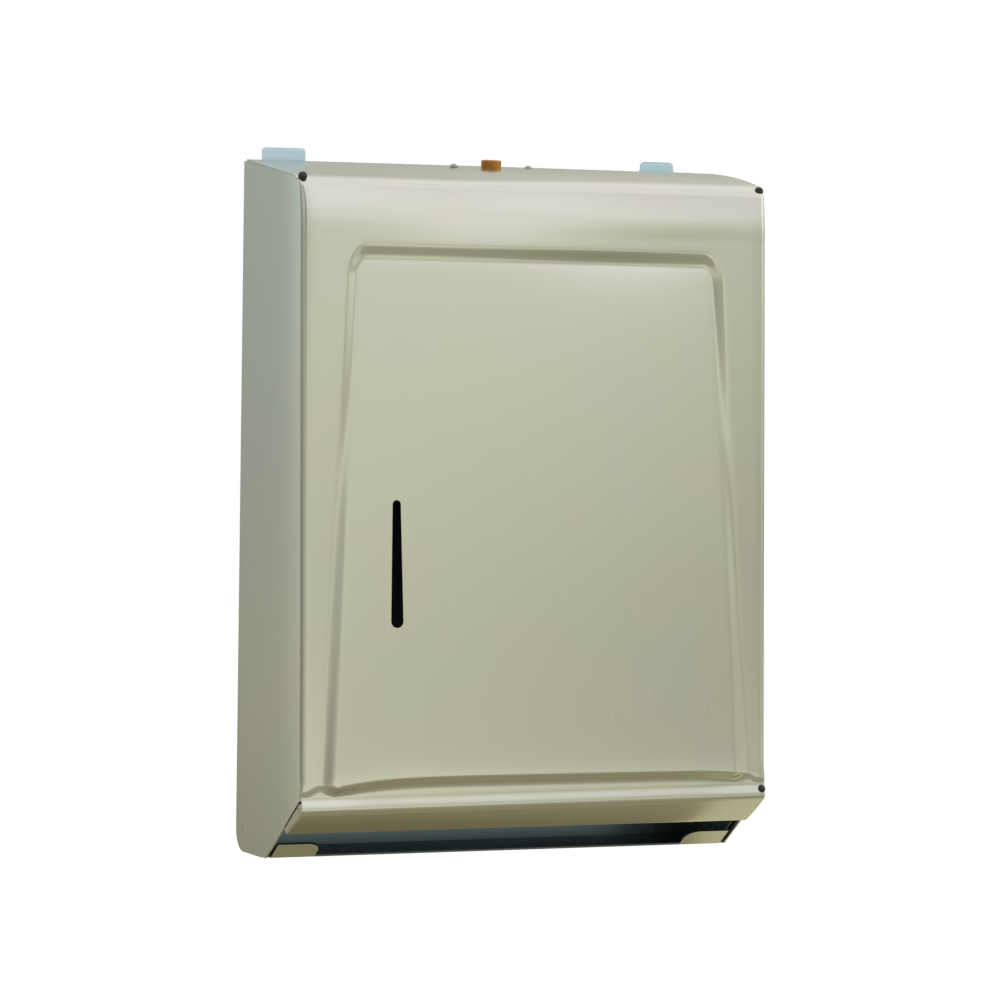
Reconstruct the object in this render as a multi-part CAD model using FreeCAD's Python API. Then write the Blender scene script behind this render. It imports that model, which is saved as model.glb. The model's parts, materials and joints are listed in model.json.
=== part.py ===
"""Wall-mounted cabinet for folded paper towels.

A flat back plate carries two towel guides, a tray and a lock keeper. A folded
stainless cover hangs on two pins at the lower rear corners and drops forward
for filling. A cam lock in its top holds it shut.

Lengths are in millimetres. +X is to the viewer's right, +Z is up, and the wall
is the plane Y = 0, with the cabinet on its negative side. Pieces are built with
Z = 0 at the cabinet's lower edge, and are written with the origin at the middle
of the four wall screw holes.
"""
import FreeCAD
import Part
import math
import os

from FreeCAD import Placement, Rotation, Vector

X_AXIS = Vector(1, 0, 0)
Y_AXIS = Vector(0, 1, 0)
Z_AXIS = Vector(0, 0, 1)

# Cover, outside sizes
cover_width = 279.4
cover_height = 385.2
cover_depth = 101.6
cover_sheet = 0.9
front_lean = 1.85
top_slope = 4.5
bend_height = 37.5
throat_tip = 48.6
wall_gap = 0.4
side_bend = 2.0
top_bend = 8.0
lower_bend = 3.5
rear_hem = 7.0
rear_gap = 3.4
corner_relief = 1.8

# Cover, lip across the top of the throat
lip_length = 36.3
lip_hem = 7.0
lip_seam = 0.6

# Cover, stamped front panel
panel_below_cover = 53.2
panel_foot = 48.0
panel_foot_rise = 3.5
panel_recess = 5.0
panel_proud = 4.0
panel_margin_top = 35.0
panel_margin_middle = 23.7
panel_margin_foot = 18.2
panel_corner = 8.0
panel_wall_run = 1.4
panel_edge_round = 1.6

# Cover, towel level slot
slot_from_side = 55.7
slot_low = 129.8
slot_high = 199.8
slot_low_width = 7.3
slot_high_width = 4.7

# Case
plate_sheet = 1.2
plate_below_cover = 0.5
plate_foot = 0.4
plate_corner = 3.0
case_gap = 1.1
wall_hole_low = 70.0
wall_hole_spacing_x = 203.2
wall_hole_spacing_z = 254.0
wall_hole_radius = 3.2

# Towel guides
guide_sheet = 0.9
guide_from_front = 17.6
guide_below_cover = 27.2
guide_flange = 15.0
guide_lip = 8.0
guide_corner = 6.0
guide_lip_clearance = 1.5

# Tray
tray_sheet = 1.2
tray_foot = 0.4
tray_clearance = 0.3
tray_rear_flange = 13.0
tray_rear_margin = 19.8
tray_side_flange = 12.0
tray_side_from_wall = 22.0
tray_side_length = 22.0
tray_tab_length = 14.9
tray_tab_width = 25.5
tray_tab_corner = 8.0

# Hinge
hinge_corner = 12.1
hinge_pin_radius = 2.5
hinge_pin_head_radius = 4.5
hinge_pin_head = 1.6
hinge_running_clearance = 0.05
hinge_washer_radius = 7.0
hinge_washer_clearance = 0.1

# Rivets
rivet_radius = 1.5
rivet_head_radius = 2.8
rivet_head = 1.1
rivet_clearance = 0.05

# Lock, measured from the outside of the cover's top
lock_from_wall = 22.0
lock_head_radius = 5.65
lock_head = 4.2
lock_barrel_radius = 4.9
lock_barrel_length = 16.0
lock_hole_clearance = 0.1
lock_plug_radius = 3.2
lock_plug_cap_radius = 3.9
lock_plug_cap = 1.2
lock_plug_sunk = 0.3
lock_plug_clearance = 0.05
keyway_width = 1.3
keyway_height = 4.6
keyway_depth = 5.0
lock_plate_sheet = 1.5
lock_plate_width = 60.0
lock_plate_depth = 22.0
lock_plate_corner = 3.0
lock_washer_radius = 8.0
lock_washer_sheet = 0.8
lock_nut_across = 14.0
lock_nut_height = 4.0
lock_rivet_pitch = 45.4
lock_rivet_radius = 1.6
lock_rivet_head_radius = 2.4
lock_rivet_head = 1.7
cam_gap = 0.3
cam_sheet = 1.6
cam_reach = 18.0
cam_half_width = 4.0
cam_hub_radius = 6.0
cam_square = 4.4
cam_square_clearance = 0.05
cam_screw_radius = 1.25
cam_screw_length = 7.0
cam_screw_head_radius = 3.4
cam_screw_head = 1.6
cam_screw_slot = 0.8

# Keeper
keeper_sheet = 1.2
keeper_height = 16.0
keeper_flange = 15.0
keeper_play = 0.8
keeper_side_gap = 1.6
keeper_finger = 9.7
keeper_rivet_pitch = 8.0

# Top clips
clip_width = 25.0
clip_from_side = 25.1
clip_sheet = 1.8
clip_above_cover = 8.6
clip_behind_cover = 22.2
clip_corner = 2.5
clip_rivet_height = 7.0

# Worked out from the sizes above
half_width = cover_width / 2
inner_half = half_width - cover_sheet
case_half = inner_half - case_gap
guide_inner = case_half - guide_sheet
guide_depth = cover_depth - guide_from_front
guide_top = cover_height - guide_below_cover
plate_top = cover_height - plate_below_cover
tray_rear_half = guide_inner - tray_rear_margin
panel_top = cover_height - panel_below_cover
panel_half_top = half_width - panel_margin_top
panel_half_middle = half_width - panel_margin_middle
panel_half_foot = half_width - panel_margin_foot
slot_centre_x = slot_from_side - half_width
clip_centre_x = half_width - clip_from_side
clip_foot = cover_height - clip_behind_cover
front_run = math.tan(math.radians(front_lean))
top_run = math.tan(math.radians(top_slope))
pivot_y = -(hinge_corner + wall_gap)
pivot_z = hinge_corner
origin_height = wall_hole_low + wall_hole_spacing_z / 2


def unit(dy, dz):
    """The direction of a line of the side view, as a unit pair."""
    length = math.hypot(dy, dz)
    return dy / length, dz / length


def shifted(line, distance):
    """A line of the side view, moved inwards by a distance."""
    (y, z), (dy, dz) = line
    return (y - dz * distance, z + dy * distance), (dy, dz)


def meet(first, second):
    """The point where two lines of the side view cross."""
    (y1, z1), (dy1, dz1) = first
    (y2, z2), (dy2, dz2) = second
    cross = dy1 * dz2 - dz1 * dy2
    along = ((y2 - y1) * dz2 - (z2 - z1) * dy2) / cross
    return y1 + dy1 * along, z1 + dz1 * along


def level_line(height):
    """A level line of the side view, with the inside above it."""
    return (0.0, height), (1.0, 0.0)


def upright_line(y):
    """An upright line of the side view, with the inside in front of it."""
    return (y, 0.0), (0.0, 1.0)


# The cover's side view, run round with the inside on the left
top_line = (0.0, cover_height), unit(-1.0, -top_run)
front_line = (-cover_depth, bend_height), unit(-front_run, -1.0)
chamfer_line = (-cover_depth, bend_height), unit(cover_depth - throat_tip, -bend_height)
chamfer_length = math.hypot(cover_depth - throat_tip, bend_height)


def side_view(y, z):
    """Places a point of the side view on the plane X = 0."""
    return Vector(0, y, z)


def front_view(x, z):
    """Places a point of the front view on the wall plane."""
    return Vector(x, 0, z)


def on_chamfer(inset):
    """Gives a place for (x, distance from the bend) on the chamfer, moved inwards."""
    (y, z), (dy, dz) = shifted(chamfer_line, inset)

    def place(x, along):
        return Vector(x, y + dy * along, z + dz * along)

    return place


def rounded_wire(corners, place):
    """A closed wire through (a, b, radius) corners, each rounded by its arc."""
    stations = []
    for index, (a, b, radius) in enumerate(corners):
        here = Vector(a, b, 0)
        before = Vector(*corners[index - 1][:2], 0)
        after = Vector(*corners[(index + 1) % len(corners)][:2], 0)
        if radius == 0:
            stations.append((here, here, here))
            continue
        back = (before - here).normalize()
        ahead = (after - here).normalize()
        half_angle = back.getAngle(ahead) / 2
        inwards = (back + ahead).normalize()
        run = radius / math.tan(half_angle)
        centre = here + inwards * (radius / math.sin(half_angle))
        stations.append((here + back * run, centre - inwards * radius, here + ahead * run))
    edges = []
    for index, (start, middle, end) in enumerate(stations):
        if start != end:
            edges.append(Part.Arc(*(place(p.x, p.y) for p in (start, middle, end))).toShape())
        following = stations[(index + 1) % len(stations)][0]
        if (following - end).Length > 1e-6:
            edges.append(Part.makeLine(place(end.x, end.y), place(following.x, following.y)))
    return Part.Wire(edges)


def plate(corners, place, thickness):
    """A flat plate with a rounded outline, thickened along a vector."""
    return Part.Face(rounded_wire(corners, place)).extrude(thickness)


def side_prism(corners, x_low, x_high):
    """A solid with an outline of the side view, between two X positions."""
    solid = plate(corners, side_view, X_AXIS * (x_high - x_low))
    return solid.translate(X_AXIS * x_low)


def box(x_range, y_range, z_range):
    """A box between three pairs of limits."""
    (x0, x1), (y0, y1), (z0, z1) = x_range, y_range, z_range
    return Part.makeBox(x1 - x0, y1 - y0, z1 - z0, Vector(x0, y0, z0))


def rod(radius, start, direction, length):
    """A cylinder from a start point."""
    return Part.makeCylinder(radius, length, start, direction)


def mirrored(shape):
    """The same piece for the cabinet's other side."""
    return shape.mirror(Vector(0, 0, 0), X_AXIS)


def front_y(height):
    """Depth of the cover's front, away from the stamped panel, at a height."""
    return meet(front_line, level_line(height))[0]


def top_z(y):
    """Height of the cover's top at a depth."""
    return meet(top_line, upright_line(y))[1]


def cover_block(inset, bottom, rear):
    """The solid within the cover's outside, with its walls moved inwards."""
    top = shifted(top_line, inset)
    front = shifted(front_line, inset)
    chamfer = shifted(chamfer_line, inset)
    corner = hinge_corner if inset == 0 else 0
    corners = [
        (*meet(chamfer, bottom), 0),
        (*meet(bottom, rear), corner),
        (*meet(rear, top), 0),
        (*meet(top, front), top_bend - inset),
        (*meet(front, chamfer), lower_bend - inset),
    ]
    half = half_width - inset
    block = side_prism(corners, -half, half)
    folded = []
    for edge in block.Edges:
        middle = edge.CenterOfMass
        on_side = abs(abs(middle.x) - half) < 1e-6
        below = meet(chamfer, bottom)
        past_foot = middle.y <= below[0] + 1e-6
        on_top = middle.z > cover_height - cover_depth / 2
        if on_side and (past_foot or on_top) and abs(middle.y - rear[0][0]) > 1e-6:
            folded.append(edge)
    return block.makeFillet(side_bend - inset, folded)


def panel_middle_height():
    """Height at which the stamped panel crosses the plane of the front."""
    share = panel_recess / (panel_recess + panel_proud)
    return panel_top - (panel_top - panel_foot) * share


def panel_place(inset):
    """Turns the panel's own plane to its place in the front, moved inwards."""
    height = panel_middle_height()
    tilt = math.degrees(math.atan((panel_recess + panel_proud) / (panel_top - panel_foot)))
    lean = front_lean + tilt
    outwards = Vector(0, -math.cos(math.radians(lean)), math.sin(math.radians(lean)))
    place = Placement(Vector(0, front_y(height), height), Rotation(X_AXIS, 90 - lean))
    return Placement(-outwards * inset, Rotation()).multiply(place)


def panel_wire(far_half, far, growth, level):
    """The panel's outline in its own plane, grown outwards, at a level above it.

    The sides run straight from the panel's half width at its middle to far_half
    at the far end, which is its top or its foot.
    """
    middle = panel_middle_height()
    slant = (panel_half_middle - far_half) / (far - middle)
    spread = growth * math.hypot(1, slant)
    high = panel_top - middle + growth
    low = panel_foot - middle - growth

    def half_at(v):
        return panel_half_middle - slant * v + spread

    def place(x, v):
        return Vector(x, v, level)

    shoulder = panel_corner + growth
    corners = [(half_at(low), low, 0), (half_at(high), high, shoulder),
               (-half_at(high), high, shoulder), (-half_at(low), low, 0)]
    edges = []
    for edge in rounded_wire(corners, place).Edges:
        ends = [vertex.Point for vertex in edge.Vertexes]
        if all(abs(end.y - low) < 1e-6 for end in ends):
            crown = place(0, low + panel_foot_rise)
            edge = Part.Arc(ends[0], crown, ends[1]).toShape()
        edges.append(edge)
    return Part.Wire(Part.__sortEdges__(edges))


def panel_tool(far_half, far, reach):
    """The drafted solid between the panel's plane and a plane parallel to it."""
    near_wire = panel_wire(far_half, far, 0, 0)
    far_wire = panel_wire(far_half, far, abs(reach) * panel_wall_run, reach)
    tool = Part.makeLoft([near_wire, far_wire], True, True)
    rim = [edge for edge in tool.Edges
           if all(abs(vertex.Point.z) < 1e-6 for vertex in edge.Vertexes)]
    return tool.makeFillet(panel_edge_round, rim)


def stamped(block, inset):
    """A cover block with the panel sunk at its top and raised at its foot."""
    sink = panel_tool(panel_half_top, panel_top, panel_recess + 3)
    lift = panel_tool(panel_half_foot, panel_foot, -(panel_proud + 2))
    place = panel_place(inset)
    sink.Placement = place.multiply(sink.Placement)
    lift.Placement = place.multiply(lift.Placement)
    return block.cut(sink).fuse(lift)


def chamfer_strip(start, end, low, high, x_low, x_high):
    """A bar along the chamfer, between two distances from the bend and two insets."""
    inner = on_chamfer(high)
    outer = on_chamfer(low)
    points = [outer(0, start), outer(0, end), inner(0, end), inner(0, start)]
    corners = [(p.y, p.z, 0) for p in points]
    return side_prism(corners, x_low, x_high)


def level_slot():
    """The cutter for the slot that shows how many towels are left."""
    low_radius = slot_low_width / 2
    high_radius = slot_high_width / 2
    low_centre = slot_low + low_radius
    high_centre = slot_high - high_radius
    corners = [
        (slot_centre_x - low_radius, low_centre, 0),
        (slot_centre_x + low_radius, low_centre, 0),
        (slot_centre_x + high_radius, high_centre, 0),
        (slot_centre_x - high_radius, high_centre, 0),
    ]
    reach = Vector(0, -2 * cover_depth, 0)
    cutter = plate(corners, front_view, reach)
    for radius, height in ((low_radius, low_centre), (high_radius, high_centre)):
        cutter = cutter.fuse(rod(radius, Vector(slot_centre_x, 0, height), -Y_AXIS, reach.Length))
    return cutter.common(box((-half_width, half_width), (-2 * cover_depth, -cover_depth / 2),
                             (0, cover_height)))


def lock_place():
    """Turns the lock's own frame, upright from the cover's top, to its place."""
    origin = Vector(0, -lock_from_wall, top_z(-lock_from_wall))
    return Placement(origin, Rotation(X_AXIS, top_slope))


def set_in_lock(shape):
    """Moves a piece from the lock's own frame to its place."""
    placed = shape.copy()
    placed.Placement = lock_place().multiply(placed.Placement)
    return placed


def lock_rivet_places():
    """The two rivets each side of the lock, in the lock's own frame."""
    return [Vector(side * lock_rivet_pitch / 2, 0, 0) for side in (-1, 1)]


def cover_shell():
    """The stamped and folded cover, in one sheet."""
    outside = cover_block(0, level_line(0), upright_line(-wall_gap))
    inside = cover_block(cover_sheet, level_line(-cover_depth), upright_line(cover_depth))
    shell = stamped(outside, 0).cut(stamped(inside, cover_sheet))
    past_tip = chamfer_length + cover_depth / 2
    # Throat: the chamfer is open past the lip, between the sides
    shell = shell.cut(chamfer_strip(lip_length, past_tip, -cover_sheet, 4 * cover_sheet,
                                    -inner_half, inner_half))
    # Lip: folded back on itself, and cut free of the sides
    hem_half = inner_half - lip_seam
    shell = shell.fuse(chamfer_strip(lip_length - lip_hem, lip_length, cover_sheet,
                                     2 * cover_sheet, -hem_half, hem_half))
    band = lower_bend + cover_sheet
    for x_low, x_high in ((-half_width - 1, -hem_half), (hem_half, half_width + 1)):
        shell = shell.cut(chamfer_strip(0, past_tip, -cover_sheet, band, x_low, x_high))
    edge_strip = chamfer_strip(0, past_tip, 0, band, inner_half, half_width)
    above_foot = box((-cover_width, cover_width), (-cover_width, 0), (0, cover_height))
    edge_strip = edge_strip.common(above_foot)
    shell = shell.fuse([edge_strip, mirrored(edge_strip)])
    # Top: stops short of the clips, and turns down in a hem
    shell = shell.cut(box((-inner_half, inner_half), (-rear_gap, 1),
                          (cover_height / 2, cover_height + 1)))
    hem_top = top_z(-rear_gap) - cover_sheet / 2
    hem_foot = top_z(-rear_gap) - cover_sheet - rear_hem
    shell = shell.fuse(box((-inner_half, inner_half), (-rear_gap - cover_sheet, -rear_gap),
                           (hem_foot, hem_top)))
    # Relief holes where three folds meet
    top_corner = meet(top_line, front_line)
    relief_y = top_corner[0] + side_bend / 2
    for side in (-1, 1):
        for y, z in ((relief_y, top_corner[1] - top_bend / 2), (-cover_depth, bend_height)):
            centre = Vector(side * (half_width - side_bend / 2), y, z)
            shell = shell.cut(Part.makeSphere(corner_relief, centre))
    shell = shell.cut(level_slot())
    # Hinge holes
    bore = rod(hinge_pin_radius + hinge_running_clearance,
               Vector(-cover_width, pivot_y, pivot_z), X_AXIS, 2 * cover_width)
    shell = shell.cut(bore)
    # Lock hole and rivet holes
    depth = 4 * cover_sheet
    lock_bore = rod(lock_barrel_radius + lock_hole_clearance, Vector(0, 0, -depth), Z_AXIS,
                    2 * depth)
    shell = shell.cut(set_in_lock(lock_bore))
    for place in lock_rivet_places():
        rivet_bore = rod(lock_rivet_radius + rivet_clearance, place - Z_AXIS * depth, Z_AXIS,
                         2 * depth)
        shell = shell.cut(set_in_lock(rivet_bore))
    return shell


def dome_rivet(radius, head_radius, head, grip, tail=0.0):
    """A rivet on +Z: domed head above Z = 0, shank through the grip, formed tail below."""
    rise = (head_radius ** 2 + head ** 2) / (2 * head)
    ball = Part.makeSphere(rise, Vector(0, 0, head - rise))
    dome = ball.common(rod(head_radius, Vector(0, 0, 0), Z_AXIS, head))
    rivet = dome.fuse(rod(radius, Vector(0, 0, -grip), Z_AXIS, grip))
    if tail:
        rivet = rivet.fuse(rod(head_radius, Vector(0, 0, -grip - tail), Z_AXIS, tail))
    return rivet


def aimed(shape, origin, direction):
    """Moves a piece that stands on +Z to an origin and a direction."""
    placed = shape.copy()
    placed.Placement = Placement(origin, Rotation(Z_AXIS, direction)).multiply(placed.Placement)
    return placed


def plate_rivet(x, z, grip):
    """A rivet through the back plate and what lies on it, flush at the wall."""
    rivet = dome_rivet(rivet_radius, rivet_head_radius, rivet_head, grip)
    return aimed(rivet, Vector(x, -grip, z), -Y_AXIS)


def rivet_bore(x, z):
    """The cutter for a rivet hole along Y."""
    return rod(rivet_radius + rivet_clearance, Vector(x, -cover_depth, z), Y_AXIS, cover_depth)


def clip_rivet_places():
    """Where the two top clips are riveted, as (x, z)."""
    return [(side * clip_centre_x, clip_foot + clip_rivet_height) for side in (-1, 1)]


def cam_centre():
    """The middle of the cam on the lock's axis."""
    level = -lock_barrel_length - cam_gap - cam_sheet / 2
    return lock_place().multVec(Vector(0, 0, level))


def keeper_wall_x():
    """Where the keeper's side wall stands, clear of the cam's sweep."""
    return cam_reach + keeper_side_gap


def keeper_rivet_places():
    """Where the keeper is riveted to the back plate, as (x, z)."""
    x = keeper_wall_x() + keeper_sheet + keeper_flange / 2
    middle = cam_centre().z
    return [(x, middle + side * keeper_rivet_pitch / 2) for side in (-1, 1)]


def wall_hole_places():
    """The four wall screw holes, as (x, z)."""
    places = []
    for x in (-wall_hole_spacing_x / 2, wall_hole_spacing_x / 2):
        for z in (wall_hole_low, wall_hole_low + wall_hole_spacing_z):
            places.append((x, z))
    return places


def back_plate():
    """The flat sheet against the wall."""
    corners = []
    for x, z in ((-case_half, plate_foot), (case_half, plate_foot),
                 (case_half, plate_top), (-case_half, plate_top)):
        corners.append((x, z, plate_corner))
    sheet = plate(corners, front_view, -Y_AXIS * plate_sheet)
    for x, z in wall_hole_places():
        hole = rod(wall_hole_radius, Vector(x, -cover_depth, z), Y_AXIS, cover_depth)
        sheet = sheet.cut(hole)
    for x, z in clip_rivet_places() + keeper_rivet_places():
        sheet = sheet.cut(rivet_bore(x, z))
    return sheet


def guide_chamfer():
    """The slanted lower edge of a guide, clear of the cover's lip."""
    return shifted(chamfer_line, 2 * cover_sheet + guide_lip_clearance)


def tray_rivet_places():
    """Where the tray's side flange is riveted to a guide, as (y, z)."""
    y = -tray_side_from_wall - tray_side_length / 2
    z = tray_foot + tray_sheet + tray_side_flange / 2
    return [(y - side * tray_side_length / 4, z) for side in (-1, 1)]


def right_guide():
    """The right towel guide: side wall, rear flange on the back plate and front lip."""
    foot = level_line(tray_foot)
    front = upright_line(-guide_depth)
    corners = [
        (*meet(guide_chamfer(), foot), 0),
        (-plate_sheet, tray_foot, 0),
        (-plate_sheet, guide_top, 0),
        (-guide_depth, guide_top, guide_corner),
        (*meet(front, guide_chamfer()), guide_corner),
    ]
    guide = side_prism(corners, guide_inner, case_half)
    flange_low = tray_foot + tray_sheet + tray_rear_flange
    guide = guide.fuse(box((case_half - guide_flange, case_half),
                           (-plate_sheet - guide_sheet, -plate_sheet), (flange_low, guide_top)))
    lip_foot = meet(front, guide_chamfer())[1] + guide_corner
    guide = guide.fuse(box((case_half - guide_lip, case_half),
                           (-guide_depth, -guide_depth + guide_sheet),
                           (lip_foot, guide_top - guide_corner)))
    hinge_hole = rod(hinge_pin_radius + rivet_clearance, Vector(0, pivot_y, pivot_z), X_AXIS,
                     cover_width)
    guide = guide.cut(hinge_hole)
    for y, z in tray_rivet_places():
        guide = guide.cut(rod(rivet_radius + rivet_clearance, Vector(0, y, z), X_AXIS,
                              cover_width))
    return guide


def tray_end_tab():
    """The turned-up tab that closes the throat's right end."""
    inset = tray_clearance
    top = chamfer_length - tray_tab_length
    foot = meet(shifted(chamfer_line, inset), level_line(tray_foot))
    start = on_chamfer(inset)(0, 0)
    end = math.hypot(foot[0] - start.y, foot[1] - start.z)
    outer_x = guide_inner - tray_clearance
    inner_x = outer_x - tray_tab_width
    corners = [(outer_x, end, 0), (outer_x, top, 0), (inner_x, top, tray_tab_corner),
               (inner_x, end, 0)]
    dy, dz = chamfer_line[1]
    tab = plate(corners, on_chamfer(inset), Vector(0, -dz, dy) * tray_sheet)
    return tab.common(box((0, cover_width), (-cover_depth, 0), (tray_foot, bend_height)))


def towel_tray():
    """The shelf under the stack, with its flanges and the throat's end tabs."""
    face = shifted(chamfer_line, tray_clearance)
    low = level_line(tray_foot)
    high = level_line(tray_foot + tray_sheet)
    rear = -plate_sheet
    corners = [(*meet(face, low), 0), (rear, tray_foot, 0), (rear, tray_foot + tray_sheet, 0),
               (*meet(face, high), 0)]
    half = guide_inner - tray_clearance
    tray = side_prism(corners, -half, half)
    flange_top = tray_foot + tray_sheet + tray_rear_flange
    tray = tray.fuse(box((-tray_rear_half, tray_rear_half), (rear - tray_sheet, rear),
                         (tray_foot, flange_top)))
    side = box((guide_inner - tray_sheet, guide_inner),
               (-tray_side_from_wall - tray_side_length, -tray_side_from_wall),
               (tray_foot, tray_foot + tray_sheet + tray_side_flange))
    for y, z in tray_rivet_places():
        side = side.cut(rod(rivet_radius + rivet_clearance, Vector(0, y, z), X_AXIS, cover_width))
    tab = tray_end_tab()
    return tray.fuse([side, mirrored(side), tab, mirrored(tab)])


def tray_rivets():
    """The four rivets between the tray and the guides, flush on the outside."""
    rivets = []
    grip = tray_sheet + guide_sheet
    for y, z in tray_rivet_places():
        rivet = dome_rivet(rivet_radius, rivet_head_radius, rivet_head, grip)
        rivet = aimed(rivet, Vector(case_half - grip, y, z), -X_AXIS)
        rivets += [rivet, mirrored(rivet)]
    return Part.makeCompound(rivets)


def right_hinge_pin():
    """A headed pin through the guide, its end just inside the cover's face."""
    head = rod(hinge_pin_head_radius, Vector(guide_inner - hinge_pin_head, pivot_y, pivot_z),
               X_AXIS, hinge_pin_head)
    shank = rod(hinge_pin_radius, Vector(guide_inner, pivot_y, pivot_z), X_AXIS,
                half_width - hinge_washer_clearance - guide_inner)
    return head.fuse(shank)


def right_hinge_washer():
    """The nylon spacer on the hinge pin, between the guide and the cover."""
    thickness = case_gap - 2 * hinge_washer_clearance
    start = Vector(case_half + hinge_washer_clearance, pivot_y, pivot_z)
    disc = rod(hinge_washer_radius, start, X_AXIS, thickness)
    return disc.cut(rod(hinge_pin_radius + rivet_clearance, start, X_AXIS, thickness))


def lock_keeper():
    """The hooked bracket that the cam turns behind."""
    cam = cam_centre()
    wall_x = keeper_wall_x()
    outer_x = wall_x + keeper_sheet
    low = cam.z - keeper_height / 2
    high = cam.z + keeper_height / 2
    hook = cam.y - cam_half_width - keeper_play
    levels = (low, high)
    wall = box((wall_x, outer_x), (hook - keeper_sheet, -plate_sheet), levels)
    finger = box((outer_x - keeper_finger, outer_x), (hook - keeper_sheet, hook), levels)
    base = box((wall_x, outer_x + keeper_flange), (-plate_sheet - keeper_sheet, -plate_sheet),
               levels)
    bracket = wall.fuse([finger, base])
    for x, z in keeper_rivet_places():
        bracket = bracket.cut(rivet_bore(x, z))
    return bracket


def keeper_rivets():
    """The two rivets that hold the keeper."""
    grip = plate_sheet + keeper_sheet
    return Part.makeCompound([plate_rivet(x, z, grip) for x, z in keeper_rivet_places()])


def right_top_clip():
    """The plastic tab that stands behind the cover's rear edge."""
    low = clip_centre_x - clip_width / 2
    high = clip_centre_x + clip_width / 2
    top = cover_height + clip_above_cover
    corners = [(low, clip_foot, 0), (high, clip_foot, 0), (high, top, clip_corner),
               (low, top, clip_corner)]
    tab = plate(corners, front_view, -Y_AXIS * clip_sheet).translate(-Y_AXIS * plate_sheet)
    x, z = clip_rivet_places()[1]
    return tab.cut(rivet_bore(x, z))


def clip_rivets():
    """The rivets that hold the top clips."""
    grip = plate_sheet + clip_sheet
    return Part.makeCompound([plate_rivet(x, z, grip) for x, z in clip_rivet_places()])


def lock_plate():
    """The stiffener under the cover's top, round the lock."""
    half_x = lock_plate_width / 2
    half_y = lock_plate_depth / 2
    corners = [(x, y, lock_plate_corner) for x, y in
               ((-half_x, -half_y), (half_x, -half_y), (half_x, half_y), (-half_x, half_y))]

    def place(x, y):
        return Vector(x, y, -cover_sheet)

    sheet = plate(corners, place, -Z_AXIS * lock_plate_sheet)
    drill = Vector(0, 0, -cover_sheet - lock_plate_sheet)
    sheet = sheet.cut(rod(lock_barrel_radius + lock_hole_clearance, drill, Z_AXIS,
                          lock_plate_sheet))
    for centre in lock_rivet_places():
        sheet = sheet.cut(rod(lock_rivet_radius + rivet_clearance, centre + drill, Z_AXIS,
                              lock_plate_sheet))
    return set_in_lock(sheet)


def lock_rivet(place):
    """One of the two rivets that show each side of the lock."""
    grip = cover_sheet + lock_plate_sheet
    rivet = dome_rivet(lock_rivet_radius, lock_rivet_head_radius, lock_rivet_head, grip,
                       rivet_head)
    return set_in_lock(rivet.translate(place))


def lock_body():
    """The lock's brass barrel, with its head on the cover's top."""
    head = rod(lock_head_radius, Vector(0, 0, 0), Z_AXIS, lock_head)
    crown = [edge for edge in head.Edges
             if edge.Closed and abs(edge.CenterOfMass.z - lock_head) < 1e-6]
    head = head.makeChamfer(lock_head / 8, crown)
    barrel = rod(lock_barrel_radius, Vector(0, 0, -lock_barrel_length), Z_AXIS,
                 lock_barrel_length)
    bore = rod(lock_plug_radius + lock_plug_clearance, Vector(0, 0, -lock_barrel_length), Z_AXIS,
               lock_barrel_length + lock_head)
    cap_floor = lock_head - lock_plug_sunk - lock_plug_cap - lock_plug_clearance
    counterbore = rod(lock_plug_cap_radius + lock_plug_clearance, Vector(0, 0, cap_floor), Z_AXIS,
                      lock_head)
    return set_in_lock(head.fuse(barrel).cut(bore).cut(counterbore))


def lock_washer():
    """The washer under the lock plate."""
    top = -cover_sheet - lock_plate_sheet
    start = Vector(0, 0, top - lock_washer_sheet)
    disc = rod(lock_washer_radius, start, Z_AXIS, lock_washer_sheet)
    hole = rod(lock_barrel_radius + lock_hole_clearance, start, Z_AXIS, lock_washer_sheet)
    return set_in_lock(disc.cut(hole))


def lock_nut():
    """The six-sided nut that clamps the lock."""
    top = -cover_sheet - lock_plate_sheet - lock_washer_sheet
    start = Vector(0, 0, top - lock_nut_height)
    corner_radius = lock_nut_across / math.sqrt(3)
    points = []
    for step in range(7):
        angle = math.radians(60 * step)
        points.append(start + Vector(math.cos(angle), math.sin(angle), 0) * corner_radius)
    hexagon = Part.Face(Part.makePolygon(points)).extrude(Z_AXIS * lock_nut_height)
    corners = Part.makeCone(lock_nut_across / 2, lock_nut_across / 2 + 2 * lock_nut_height,
                            2 * lock_nut_height, start)
    hole = rod(lock_barrel_radius + rivet_clearance, start, Z_AXIS, lock_nut_height)
    return set_in_lock(hexagon.common(corners).cut(hole))


def square_bar(side, low, high):
    """A square bar on the lock's axis."""
    half = side / 2
    return box((-half, half), (-half, half), (low, high))


def cam_levels():
    """The lower and upper levels of the cam, in the lock's own frame."""
    upper = -lock_barrel_length - cam_gap
    return upper - cam_sheet, upper


def lock_plug():
    """The plug that the key turns, with the square end that drives the cam."""
    lower, upper = cam_levels()
    top = lock_head - lock_plug_sunk
    body = rod(lock_plug_radius, Vector(0, 0, upper), Z_AXIS, top - upper)
    cap = rod(lock_plug_cap_radius, Vector(0, 0, top - lock_plug_cap), Z_AXIS, lock_plug_cap)
    plug = body.fuse([cap, square_bar(cam_square, lower, upper)])
    half_key = keyway_width / 2
    keyway = box((-half_key, half_key), (-keyway_height / 2, keyway_height / 2),
                 (top - keyway_depth, top))
    screw_hole = rod(cam_screw_radius + rivet_clearance, Vector(0, 0, lower), Z_AXIS,
                     cam_screw_length)
    return set_in_lock(plug.cut(keyway).cut(screw_hole))


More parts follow.
